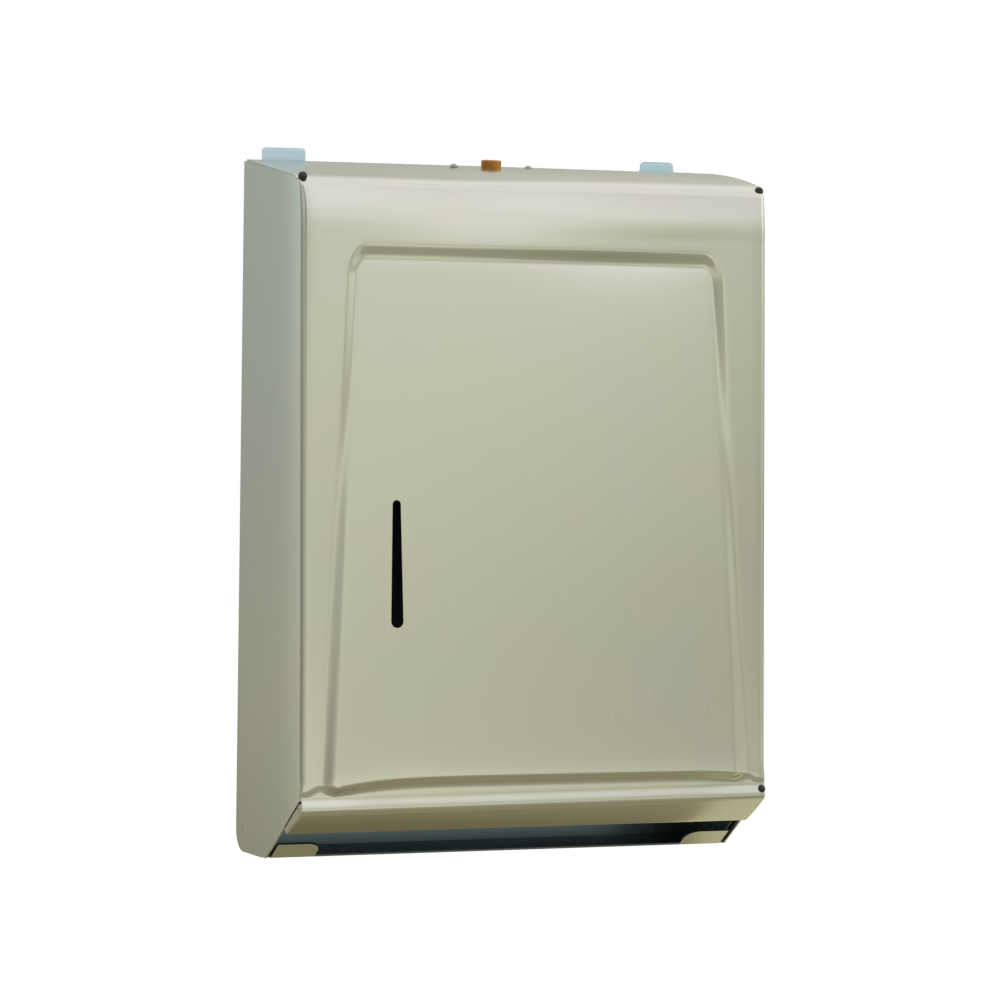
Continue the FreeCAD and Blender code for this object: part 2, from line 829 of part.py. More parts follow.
def lock_cam():
    """The cam, with its tongue to the rear when the lock is open."""
    lower, upper = cam_levels()
    hub = rod(cam_hub_radius, Vector(0, 0, lower), Z_AXIS, cam_sheet)
    tongue = box((-cam_half_width, cam_half_width), (0, cam_reach), (lower, upper))
    hole = square_bar(cam_square + 2 * cam_square_clearance, lower, upper)
    return set_in_lock(hub.fuse(tongue).cut(hole))


def cam_screw():
    """The slotted screw that holds the cam on the plug."""
    lower = cam_levels()[0]
    head = rod(cam_screw_head_radius, Vector(0, 0, lower - cam_screw_head), Z_AXIS,
               cam_screw_head)
    shank = rod(cam_screw_radius, Vector(0, 0, lower), Z_AXIS,
                cam_screw_length - 4 * rivet_clearance)
    half_slot = cam_screw_slot / 2
    slot = box((-cam_screw_head_radius, cam_screw_head_radius), (-half_slot, half_slot),
               (lower - cam_screw_head, lower - cam_screw_head / 2))
    return set_in_lock(head.fuse(shank).cut(slot))


def write(name, shape):
    """Writes one piece, with the origin moved to the middle of the wall holes."""
    placed = shape.copy()
    placed.translate(Vector(0, 0, -origin_height))
    solids = len(placed.Solids)
    print(f"{name}: {solids} solid(s), valid {placed.isValid()}, volume {placed.Volume:.1f}")
    placed.exportStep(f"parts/{name}.step")


def main():
    os.makedirs("parts", exist_ok=True)
    write("back_plate", back_plate())
    write("towel_tray", towel_tray())
    write("tray_rivets", tray_rivets())
    for name, piece in (("towel_guide", right_guide()), ("hinge_pin", right_hinge_pin()),
                        ("hinge_washer", right_hinge_washer()), ("top_clip", right_top_clip())):
        write("right_" + name, piece)
        write("left_" + name, mirrored(piece))
    write("lock_keeper", lock_keeper())
    write("keeper_rivets", keeper_rivets())
    write("clip_rivets", clip_rivets())
    write("cover_shell", cover_shell())
    write("lock_plate", lock_plate())
    for name, place in zip(("left_lock_rivet", "right_lock_rivet"), lock_rivet_places()):
        write(name, lock_rivet(place))
    write("lock_body", lock_body())
    write("lock_washer", lock_washer())
    write("lock_nut", lock_nut())
    write("lock_plug", lock_plug())
    write("lock_cam", lock_cam())
    write("cam_screw", cam_screw())


main()
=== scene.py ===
"""Looks of a wall-mounted cabinet for folded paper towels, in brushed stainless steel.

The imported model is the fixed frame. The folded cover and the two top clips are
modelled here in its place, and every other piece keeps its shape and gets its
finish. Sizes in the classes are in millimetres, measured as on the bench: X to
the viewer's right, Y into the wall, Z up from the cabinet's lower edge.
"""

import json
import logging
import math
from contextlib import contextmanager
from dataclasses import dataclass, field
from enum import Enum
from typing import Any, Callable, Iterator, Sequence

import bmesh
import bpy
from mathutils import Matrix, Vector

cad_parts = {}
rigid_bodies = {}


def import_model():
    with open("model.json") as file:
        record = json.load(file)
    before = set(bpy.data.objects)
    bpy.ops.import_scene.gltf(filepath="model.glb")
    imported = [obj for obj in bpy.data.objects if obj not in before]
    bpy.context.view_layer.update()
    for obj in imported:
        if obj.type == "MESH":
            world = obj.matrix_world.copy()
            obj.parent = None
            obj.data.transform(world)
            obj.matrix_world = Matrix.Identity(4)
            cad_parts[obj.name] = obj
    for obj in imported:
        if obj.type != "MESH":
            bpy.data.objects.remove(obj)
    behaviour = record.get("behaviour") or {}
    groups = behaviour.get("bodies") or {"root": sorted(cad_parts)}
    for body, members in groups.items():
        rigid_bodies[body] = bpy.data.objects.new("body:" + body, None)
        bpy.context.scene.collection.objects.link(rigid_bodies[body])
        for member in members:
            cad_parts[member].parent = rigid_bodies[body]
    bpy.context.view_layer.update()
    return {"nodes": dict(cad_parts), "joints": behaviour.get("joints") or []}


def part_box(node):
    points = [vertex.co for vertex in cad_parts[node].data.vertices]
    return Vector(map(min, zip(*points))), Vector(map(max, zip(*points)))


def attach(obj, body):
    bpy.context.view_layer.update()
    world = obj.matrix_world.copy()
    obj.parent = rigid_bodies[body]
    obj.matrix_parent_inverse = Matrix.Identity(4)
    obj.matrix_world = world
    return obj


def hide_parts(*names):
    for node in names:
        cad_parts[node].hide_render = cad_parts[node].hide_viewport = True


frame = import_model()

log = logging.getLogger("cabinet")

# One millimetre, and the height of the cabinet's lower edge, in the frame's metres.
MM = 0.001
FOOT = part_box("cover_shell")[0].z

Colour = tuple[float, float, float, float]
Bands = tuple[tuple[float, tuple[float, float, float]], ...]
ColourMaker = Callable[[bpy.types.NodeTree, bpy.types.NodeSocket], Any]


class Slot(Enum):
    """The record's material slots that the modelled pieces stand for."""

    COVER = "cover_stainless"
    CLIP = "clip_plastic"


class Side(Enum):
    """The cabinet's two sides, as the nodes' names give them."""

    LEFT = "left"
    RIGHT = "right"


def placed(x: float, y: float, z: float) -> Vector:
    """Turns a bench point in millimetres into the frame's metres."""
    return Vector((x * MM, y * MM, z * MM + FOOT))


def linear(hex_colour: str) -> Colour:
    """Turns an sRGB hex colour into linear light.

    Args:
        hex_colour: Six hex digits, with or without a leading hash.

    Returns:
        Red, green and blue in linear light, and an alpha of one.
    """
    digits = hex_colour.lstrip("#")
    shares = [int(digits[i:i + 2], 16) / 255 for i in (0, 2, 4)]
    light = [s / 12.92 if s <= 0.04045 else ((s + 0.055) / 1.055) ** 2.4 for s in shares]
    return light[0], light[1], light[2], 1.0


def smooth(low: float, high: float, value: float) -> float:
    """Rises smoothly from 0 at low to 1 at high."""
    share = min(max((value - low) / (high - low), 0.0), 1.0)
    return share * share * (3 - 2 * share)


def mix(start: float, end: float, share: float) -> float:
    """The value a share of the way from start to end."""
    return start + (end - start) * share


def add_node(tree: bpy.types.NodeTree, kind: str, settings: dict[str, Any] | None = None,
             inputs: dict[str | int, Any] | None = None) -> bpy.types.Node:
    """Adds a node with its settings, its values and its links.

    Args:
        tree: The node tree that gets the node.
        kind: The node's type name.
        settings: Attributes of the node itself.
        inputs: Values by socket, where an output socket is linked instead.

    Returns:
        The new node.
    """
    node = tree.nodes.new(kind)
    for name, value in (settings or {}).items():
        setattr(node, name, value)
    for socket, value in (inputs or {}).items():
        if isinstance(value, bpy.types.NodeSocket):
            tree.links.new(value, node.inputs[socket])
        else:
            node.inputs[socket].default_value = value
    return node


def ramp(tree: bpy.types.NodeTree, factor: bpy.types.NodeSocket,
         stops: Sequence[tuple[float, tuple[float, ...]]]) -> bpy.types.NodeSocket:
    """Adds a colour ramp.

    Args:
        tree: The node tree.
        factor: The output that drives the ramp.
        stops: Pairs of position and linear colour.

    Returns:
        The ramp's colour output.
    """
    node = add_node(tree, "ShaderNodeValToRGB", inputs={"Fac": factor})
    elements = node.color_ramp.elements
    while len(elements) < len(stops):
        elements.new(1.0)
    for element, (position, colour) in zip(elements, stops):
        element.position = position
        element.color = colour
    return node.outputs["Color"]


def new_material(name: str) -> tuple[bpy.types.Material, bpy.types.NodeTree, bpy.types.Node]:
    """Makes a material with nodes.

    Args:
        name: The material's name.

    Returns:
        The material, its node tree and its principled shader.
    """
    made = bpy.data.materials.new(name)
    made.use_nodes = True
    return made, made.node_tree, made.node_tree.nodes["Principled BSDF"]


def deselect() -> None:
    """Clears the selection, because an operator acts on all that is selected."""
    for other in bpy.context.view_layer.objects:
        other.select_set(False)


def activate(piece: bpy.types.Object) -> None:
    """Makes a piece the one that operators act on.

    Args:
        piece: The object, which alone is selected afterwards.
    """
    deselect()
    piece.select_set(True)
    bpy.context.view_layer.objects.active = piece


def started(name: str) -> bpy.types.Object:
    """Names the primitive that was just added, with its place put in its mesh.

    Args:
        name: The name of the object and its mesh.

    Returns:
        The object, at the origin, unturned and unscaled.
    """
    piece = bpy.context.object
    piece.name = name
    piece.data.name = name
    bpy.ops.object.transform_apply(location=True, rotation=True, scale=True)
    return piece


@contextmanager
def editing(piece: bpy.types.Object) -> Iterator[bmesh.types.BMesh]:
    """Opens a piece in edit mode with nothing selected.

    Args:
        piece: The mesh object.

    Yields:
        Its edit mesh, in which code selects by place or normal.
    """
    activate(piece)
    bpy.ops.object.mode_set(mode="EDIT")
    bpy.ops.mesh.select_all(action="DESELECT")
    yield bmesh.from_edit_mesh(piece.data)
    bpy.ops.object.mode_set(mode="OBJECT")


def choose(mesh: bmesh.types.BMesh, elements: Sequence[Any], test: Callable[[Any], bool]) -> None:
    """Selects the faces, edges or vertices that pass a test, and nothing else.

    Args:
        mesh: The edit mesh.
        elements: Its faces, edges or vertices.
        test: Says whether one of them is chosen.
    """
    bpy.ops.mesh.select_all(action="DESELECT")
    for element in elements:
        if test(element):
            element.select_set(True)
    mesh.select_flush_mode()


def apply_modifier(piece: bpy.types.Object, kind: str, **settings: Any) -> None:
    """Adds a modifier to a piece and applies it.

    Args:
        piece: The mesh object.
        kind: The modifier's type.
        **settings: The modifier's own settings.
    """
    activate(piece)
    modifier = piece.modifiers.new(kind.title(), kind)
    for name, value in settings.items():
        setattr(modifier, name, value)
    bpy.ops.object.modifier_apply(modifier=modifier.name)


def cut(piece: bpy.types.Object, cutter: bpy.types.Object) -> None:
    """Cuts one closed mesh out of a piece and deletes the cutter."""
    apply_modifier(piece, "BOOLEAN", operation="DIFFERENCE", solver="EXACT", object=cutter)
    bpy.data.objects.remove(cutter)


def drill(piece: bpy.types.Object, radius: float, depth: float, centre: Vector,
          axis: Vector) -> None:
    """Cuts a round hole.

    Args:
        piece: The mesh object.
        radius: The hole's radius, in metres.
        depth: The drill's length, in metres.
        centre: The drill's middle.
        axis: The drill's direction.
    """
    turn = Vector((0, 0, 1)).rotation_difference(axis).to_euler()
    deselect()
    bpy.ops.mesh.primitive_cylinder_add(vertices=48, radius=radius, depth=depth,
                                        location=centre, rotation=turn)
    cut(piece, started("drill"))


def finish_piece(piece: bpy.types.Object, material: bpy.types.Material, slot: Slot,
                 body: str, *nodes: str) -> bpy.types.Object:
    """Dresses a modelled piece and ties it to the frame.

    Args:
        piece: The finished mesh object.
        material: Its material.
        slot: The record's slot that it stands for; not used.
        body: The body that it rides on.
        *nodes: The nodes that it replaces.

    Returns:
        The piece.
    """
    piece.data.materials.clear()
    piece.data.materials.append(material)
    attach(piece, body)
    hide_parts(*nodes)
    log.info("%s: %d faces, replaces %s", piece.name, len(piece.data.polygons),
             ", ".join(nodes) or "no node")
    return piece


@dataclass(frozen=True)
class BrushedStainless:
    """Type 304 stainless sheet with a No. 4 brushed finish.

    The belt leaves long fine scratches along the sheet. They spread a
    reflection sideways and hardly at all up and down, so level edges stay
    crisp in it and the metal looks like satin. Lengths are in millimetres.

    Attributes:
        name: The material's name.
        colour: The metal's colour, in sRGB.
        low_roughness: Roughness of the smoothest scratches.
        high_roughness: Roughness of the coarsest.
        anisotropy: How much the scratches draw a reflection out.
        streak_width: A scratch's width, drawn coarser than the real one's,
            which is too fine to show.
        streak_length: A scratch's length.
        cloud_size: Size of the faint warmer and cooler patches.
        relief: Depth of the scratches.
        metallic: Share of bare metal, less than 1 under a dull film.
    """

    name: str
    colour: str
    low_roughness: float
    high_roughness: float
    anisotropy: float
    streak_width: float = 0.8
    streak_length: float = 60.0
    cloud_size: float = 70.0
    relief: float = 0.004
    metallic: float = 1.0

    def material(self, flat_map: str | None = None) -> bpy.types.Material:
        """Builds the metal.

        Args:
            flat_map: The UV map of the unfolded sheet, in metres. Without it
                the scratches run along the object's Z.

        Returns:
            The material.
        """
        made, tree, shader = new_material(self.name)
        if flat_map:
            place = add_node(tree, "ShaderNodeUVMap", {"uv_map": flat_map}).outputs["UV"]
            along = 1
        else:
            place = add_node(tree, "ShaderNodeTexCoord").outputs["Object"]
            along = 2
        pitch = [1 / (self.streak_width * MM)] * 3
        pitch[along] = 1 / (self.streak_length * MM)
        stretched = add_node(tree, "ShaderNodeMapping",
                             inputs={"Vector": place, "Scale": pitch}).outputs["Vector"]
        streaks = add_node(tree, "ShaderNodeTexNoise",
                           inputs={"Vector": stretched, "Scale": 1.0, "Detail": 4.0,
                                   "Roughness": 0.65}).outputs["Fac"]
        clouds = add_node(tree, "ShaderNodeTexNoise",
                          inputs={"Vector": place, "Scale": 1 / (self.cloud_size * MM),
                                  "Detail": 2.0}).outputs["Fac"]
        base = linear(self.colour)
        cool = (base[0] * 0.985, base[1], base[2] * 1.01, 1.0)
        warm = (base[0] * 1.01, base[1] * 0.995, base[2] * 0.98, 1.0)
        hue = ramp(tree, clouds, [(0.35, cool), (0.65, warm)])
        shade = add_node(tree, "ShaderNodeMapRange",
                         inputs={"Value": streaks, "From Min": 0.3, "From Max": 0.7,
                                 "To Min": 0.985, "To Max": 1.012}).outputs["Result"]
        tinted = add_node(tree, "ShaderNodeVectorMath", {"operation": "SCALE"},
                          {0: hue, "Scale": shade}).outputs["Vector"]
        gloss = add_node(tree, "ShaderNodeMapRange",
                         inputs={"Value": streaks, "From Min": 0.3, "From Max": 0.7,
                                 "To Min": self.low_roughness,
                                 "To Max": self.high_roughness}).outputs["Result"]
        grain = add_node(tree, "ShaderNodeBump",
                         inputs={"Height": streaks, "Distance": self.relief * MM,
                                 "Strength": 1.0}).outputs["Normal"]
        shader.inputs["Metallic"].default_value = self.metallic
        shader.inputs["Anisotropic"].default_value = self.anisotropy
        tree.links.new(tinted, shader.inputs["Base Color"])
        tree.links.new(gloss, shader.inputs["Roughness"])
        tree.links.new(grain, shader.inputs["Normal"])
        if flat_map:
            tangent = add_node(tree, "ShaderNodeTangent",
                               {"direction_type": "UV_MAP", "uv_map": flat_map})
            tree.links.new(tangent.outputs["Tangent"], shader.inputs["Tangent"])
        return made


@dataclass(frozen=True)
class SmallMetal:
    """A small turned, stamped or plated metal piece.

    Fine tool marks and handling leave soft patches of duller metal, which
    keep its highlights from looking like a mirror's.

    Attributes:
        name: The material's name.
        colour: The metal's colour, in sRGB.
        low_roughness: Roughness of the brightest metal.
        high_roughness: Roughness of the dull patches.
        mark_size: Size of the patches, in millimetres.
    """

    name: str
    colour: str
    low_roughness: float
    high_roughness: float
    mark_size: float = 0.6

    def material(self) -> bpy.types.Material:
        """Builds the metal, mottled at the size of its tool marks.

        Returns:
            The material.
        """
        made, tree, shader = new_material(self.name)
        place = add_node(tree, "ShaderNodeTexCoord").outputs["Object"]
        marks = add_node(tree, "ShaderNodeTexNoise",
                         inputs={"Vector": place, "Scale": 1 / (self.mark_size * MM),
                                 "Detail": 3.0}).outputs["Fac"]
        base = linear(self.colour)
        dull = (base[0] * 0.86, base[1] * 0.84, base[2] * 0.8, 1.0)
        tree.links.new(ramp(tree, marks, [(0.35, dull), (0.6, base)]),
                       shader.inputs["Base Color"])
        gloss = add_node(tree, "ShaderNodeMapRange",
                         inputs={"Value": marks, "From Min": 0.35, "From Max": 0.65,
                                 "To Min": self.high_roughness,
                                 "To Max": self.low_roughness}).outputs["Result"]
        tree.links.new(gloss, shader.inputs["Roughness"])
        shader.inputs["Metallic"].default_value = 1.0
        return made


@dataclass(frozen=True)
class MouldedPlastic:
    """An unfilled moulded plastic, slightly milky, so that light enters it.

    It keeps a soft gloss, and a fine grain from the mould breaks its highlight.

    Attributes:
        name: The material's name.
        colour: The plastic's colour, in sRGB.
        roughness: Roughness of its skin.
        clearness: Share of the light that enters it.
        glow_depth: How far that light spreads, in millimetres.
        bleed: That spread's share for red, green and blue.
        grain_size: Size of the mould's grain.
        grain_depth: Depth of the grain.
    """

    name: str
    colour: str
    roughness: float
    clearness: float
    glow_depth: float = 2.0
    bleed: tuple[float, float, float] = (0.8, 1.0, 1.2)
    grain_size: float = 0.5
    grain_depth: float = 0.01

    def material(self) -> bpy.types.Material:
        """Builds the plastic.

        Returns:
            The material.
        """
        made, tree, shader = new_material(self.name)
        place = add_node(tree, "ShaderNodeTexCoord").outputs["Object"]
        grain = add_node(tree, "ShaderNodeTexNoise",
                         inputs={"Vector": place, "Scale": 1 / (self.grain_size * MM),
                                 "Detail": 2.0}).outputs["Fac"]
        base = linear(self.colour)
        deep = (base[0] * 0.94, base[1] * 0.96, base[2] * 0.98, 1.0)
        tree.links.new(ramp(tree, grain, [(0.4, deep), (0.6, base)]),
                       shader.inputs["Base Color"])
        bump = add_node(tree, "ShaderNodeBump",
                        inputs={"Height": grain,
                                "Distance": self.grain_depth * MM}).outputs["Normal"]
        tree.links.new(bump, shader.inputs["Normal"])
        shader.inputs["Roughness"].default_value = self.roughness
        shader.inputs["Subsurface Weight"].default_value = self.clearness
        shader.inputs["Subsurface Radius"].default_value = self.bleed
        shader.inputs["Subsurface Scale"].default_value = self.glow_depth * MM
        return made


@dataclass(frozen=True)
class Run:
    """One run of the sheet's side view, along which its heading turns evenly.

    Attributes:
        length: Length along the sheet.
        heading: Heading at the run's end, in degrees: 0 is towards the wall
            and 90 is up.
        step: Longest distance between two rows of the mesh.
    """

    length: float
    heading: float
    step: float


@dataclass(frozen=True)
class Station:
    """A row of the sheet's side view.

    Attributes:
        y: Its depth.
        z: Its height.
        heading: Where the sheet heads there, in degrees.
        along: Distance along the sheet from the first row.
    """

    y: float
    z: float
    heading: float
    along: float

    def outward(self) -> tuple[float, float]:
        """The direction out of the cabinet, as (y, z)."""
        angle = math.radians(self.heading + 90)
        return math.cos(angle), math.sin(angle)

    def moved(self, distance: float) -> tuple[float, float]:
        """The point at a distance outwards, as (y, z)."""
        dy, dz = self.outward()
        return self.y + dy * distance, self.z + dz * distance


@dataclass
class StampedPanel:
    """The panel pressed into the front: sunk at its top and proud at its foot.

    Its foot wall runs on past the panel as a crease, with a hump at each end.
    Lengths are in millimetres.

    Attributes:
        top: Height of the middle of its upper wall.
        top_fall: How far that wall falls to the right, for each millimetre.
        half_foot: Half its width at the height `low`.
        taper: How much that half narrows for each millimetre upwards.
        recess: How far it is sunk at the height `high`.
        proud: How far it stands out at the height `low`.
        high: Height near its top.
        low: Height near its foot.
        corner: Radius of its upper corners.
        wall: Width of its side walls.
        right_wall: Width of the right wall at its foot.
        right_wall_span: Heights between which the right wall narrows.
        wall_stretch: Width of its upper wall, as a share of the side walls.
        rim_depth: Depth of the groove in the middle of its walls.
        rim_width: How wide that groove is.
        roll_depth: How far the sheet dips just under the upper wall.
        roll_length: How far down that dip reaches.
        roll_centre: Where the dip is deepest, across the front.
        roll_width: How far it spreads from there.
        roll_least: How deep it is far from there.
        foot_height: Height of the foot wall's middle, halfway across.
        foot_fall: How far that wall falls to the right, for each millimetre.
        foot_reach: Distance from halfway across to the panel's lower corners.
        left_drop: How far the foot wall drops at the left corner.
        left_curve: Power of that drop, higher where it comes later.
        right_drop: How far it drops at the right corner.
        right_curve: Power of that drop.
        left_hump: Height of the crease's left hump.
        right_hump: Height of its right hump.
        hump_centre: Distance of the humps from halfway across.
        hump_fall: How fast a hump falls outwards, per square millimetre.
        valley: Height of the valley under the panel above the front's ridge.
        valley_depth: How deep the valley is.
        valley_end: How deep it is at its ends.
        valley_end_span: Distances between which it deepens to that.
        foot_least: Least height of the foot wall's middle above the valley.
        shoulder: Height of the foot wall's upper end above its middle.
        sill_depth: How far the panel sinks just above its foot.
        sill_length: How far up that reaches.
    """

    top: float = 333.3
    top_fall: float = 0.0063
    half_foot: float = 123.9
    taper: float = 0.0535
    recess: float = 2.2
    proud: float = 3.6
    high: float = 332.0
    low: float = 48.0
    corner: float = 8.5
    wall: float = 6.2
    right_wall: float = 10.5
    right_wall_span: tuple[float, float] = (60.0, 130.0)
    wall_stretch: float = 1.5
    rim_depth: float = 0.18
    rim_width: float = 2.8
    roll_depth: float = 1.85
    roll_length: float = 13.0
    roll_centre: float = 46.0
    roll_width: float = 52.0
    roll_least: float = 0.1
    foot_height: float = 46.0
    foot_fall: float = 0.004
    foot_reach: float = 119.0
    left_drop: float = 5.2
    left_curve: float = 5.0
    right_drop: float = 1.5
    right_curve: float = 11.0
    left_hump: float = 43.2
    right_hump: float = 44.2
    hump_centre: float = 127.0
    hump_fall: float = 0.055
    valley: float = 6.0
    valley_depth: float = 0.7
    valley_end: float = 1.1
    valley_end_span: tuple[float, float] = (100.0, 120.0)
    foot_least: float = 2.0
    shoulder: float = 2.6
    sill_depth: float = 0.25
    sill_length: float = 5.0

    def half(self, z: float) -> float:
        """Half the panel's width at a height."""
        return self.half_foot - self.taper * (z - self.low)

    def foot(self, x: float) -> float:
        """Height of the middle of the wall that ends the panel and the side strips.

        Args:
            x: Across the front.

        Returns:
            The height.
        """
        reach = abs(x) / self.foot_reach
        drop, curve, hump = ((self.left_drop, self.left_curve, self.left_hump) if x < 0
                             else (self.right_drop, self.right_curve, self.right_hump))
        if reach < 1:
            return self.foot_height - self.foot_fall * x - drop * reach ** curve
        if abs(x) > self.hump_centre:
            return hump - self.hump_fall * (abs(x) - self.hump_centre) ** 2
        end = self.foot_height - self.foot_fall * math.copysign(self.foot_reach, x) - drop
        share = (self.hump_centre - abs(x)) / (self.hump_centre - self.foot_reach)
        return mix(hump, end, share ** 2)

    def outside(self, x: float, z: float) -> float:
        """Distance outside the panel's sides and top, less than 0 within them.

        Args:
            x: Across the front.
            z: Height.

        Returns:
            The distance, with the corners rounded.
        """
        over = (z - self.top + self.top_fall * x) / self.wall_stretch
        a = abs(x) - self.half(z) + self.corner
        b = over + self.corner
        return math.hypot(max(a, 0), max(b, 0)) + min(max(a, b), 0) - self.corner

    def rise(self, x: float, z: float, ridge: float) -> float:
        """Share of the way up from the valley to the panel, between 0 and 1.

        Args:
            x: Across the front.
            z: Height.
            ridge: Height of the front's lower ridge.

        Returns:
            The share, steepest at the foot's height and slow near the valley.
        """
        floor = ridge + self.valley
        middle = max(self.foot(x), floor + self.foot_least)
        span = middle + self.shoulder - floor
        share = min(max((z - floor) / span, 0.0), 1.0)
        curve = math.log(0.5) / math.log((middle - floor) / span)
        return smooth(0, 1, share ** curve)

    def relief(self, x: float, z: float, ridge: float) -> float:
        """How far the stamping moves the sheet outwards.

        Args:
            x: Across the front.
            z: Height.
            ridge: Height of the front's lower ridge.

        Returns:
            The distance, less than 0 where the sheet is sunk.
        """
        low = mix(self.valley_depth, self.valley_end, smooth(*self.valley_end_span, abs(x)))
        if z <= ridge + self.valley:
            share = min((ridge + self.valley - z) / self.valley, 1.0)
            return -low * (1 - smooth(0, 1, share))
        gap = self.outside(x, z)
        level = mix(self.proud, -self.recess, (z - self.low) / (self.high - self.low))
        spread = math.exp(-((x - self.roll_centre) / self.roll_width) ** 2)
        depth = mix(self.roll_least, self.roll_depth, spread)
        level -= depth * math.exp(-(self.top - z) / self.roll_length)
        above = max(z - self.foot(x) - self.shoulder, 0.0)
        level -= self.sill_depth * math.exp(-above / self.sill_length)
        wall = self.wall
        if x >= 0:
            wall = mix(self.right_wall, self.wall, smooth(*self.right_wall_span, z))
        inside = 1 - smooth(-wall / 2, wall / 2, gap)
        rim = self.rim_depth * math.exp(-(gap / self.rim_width) ** 2)
        return mix(-low, level * inside - rim, self.rise(x, z, ridge))


@dataclass(frozen=True)
class Swelling:
    """A slight swelling of the sheet between the panel and the top bend.

    Attributes:
        start: Height where it starts.
        length: Length along the sheet over which it grows.
        depth: How far it pulls the sheet back in the end.
        centre: Where it is strongest, across the front.
        spread: How wide it is.
    """

    start: float
    length: float
    depth: float
    centre: float
    spread: float

    def pull(self, x: float, height: float) -> float:
        """How far the sheet is pulled back, at a place across and up along it."""
        across = math.exp(-((x - self.centre) / self.spread) ** 2)
        return self.depth * across * smooth(0, self.length, height - self.start)


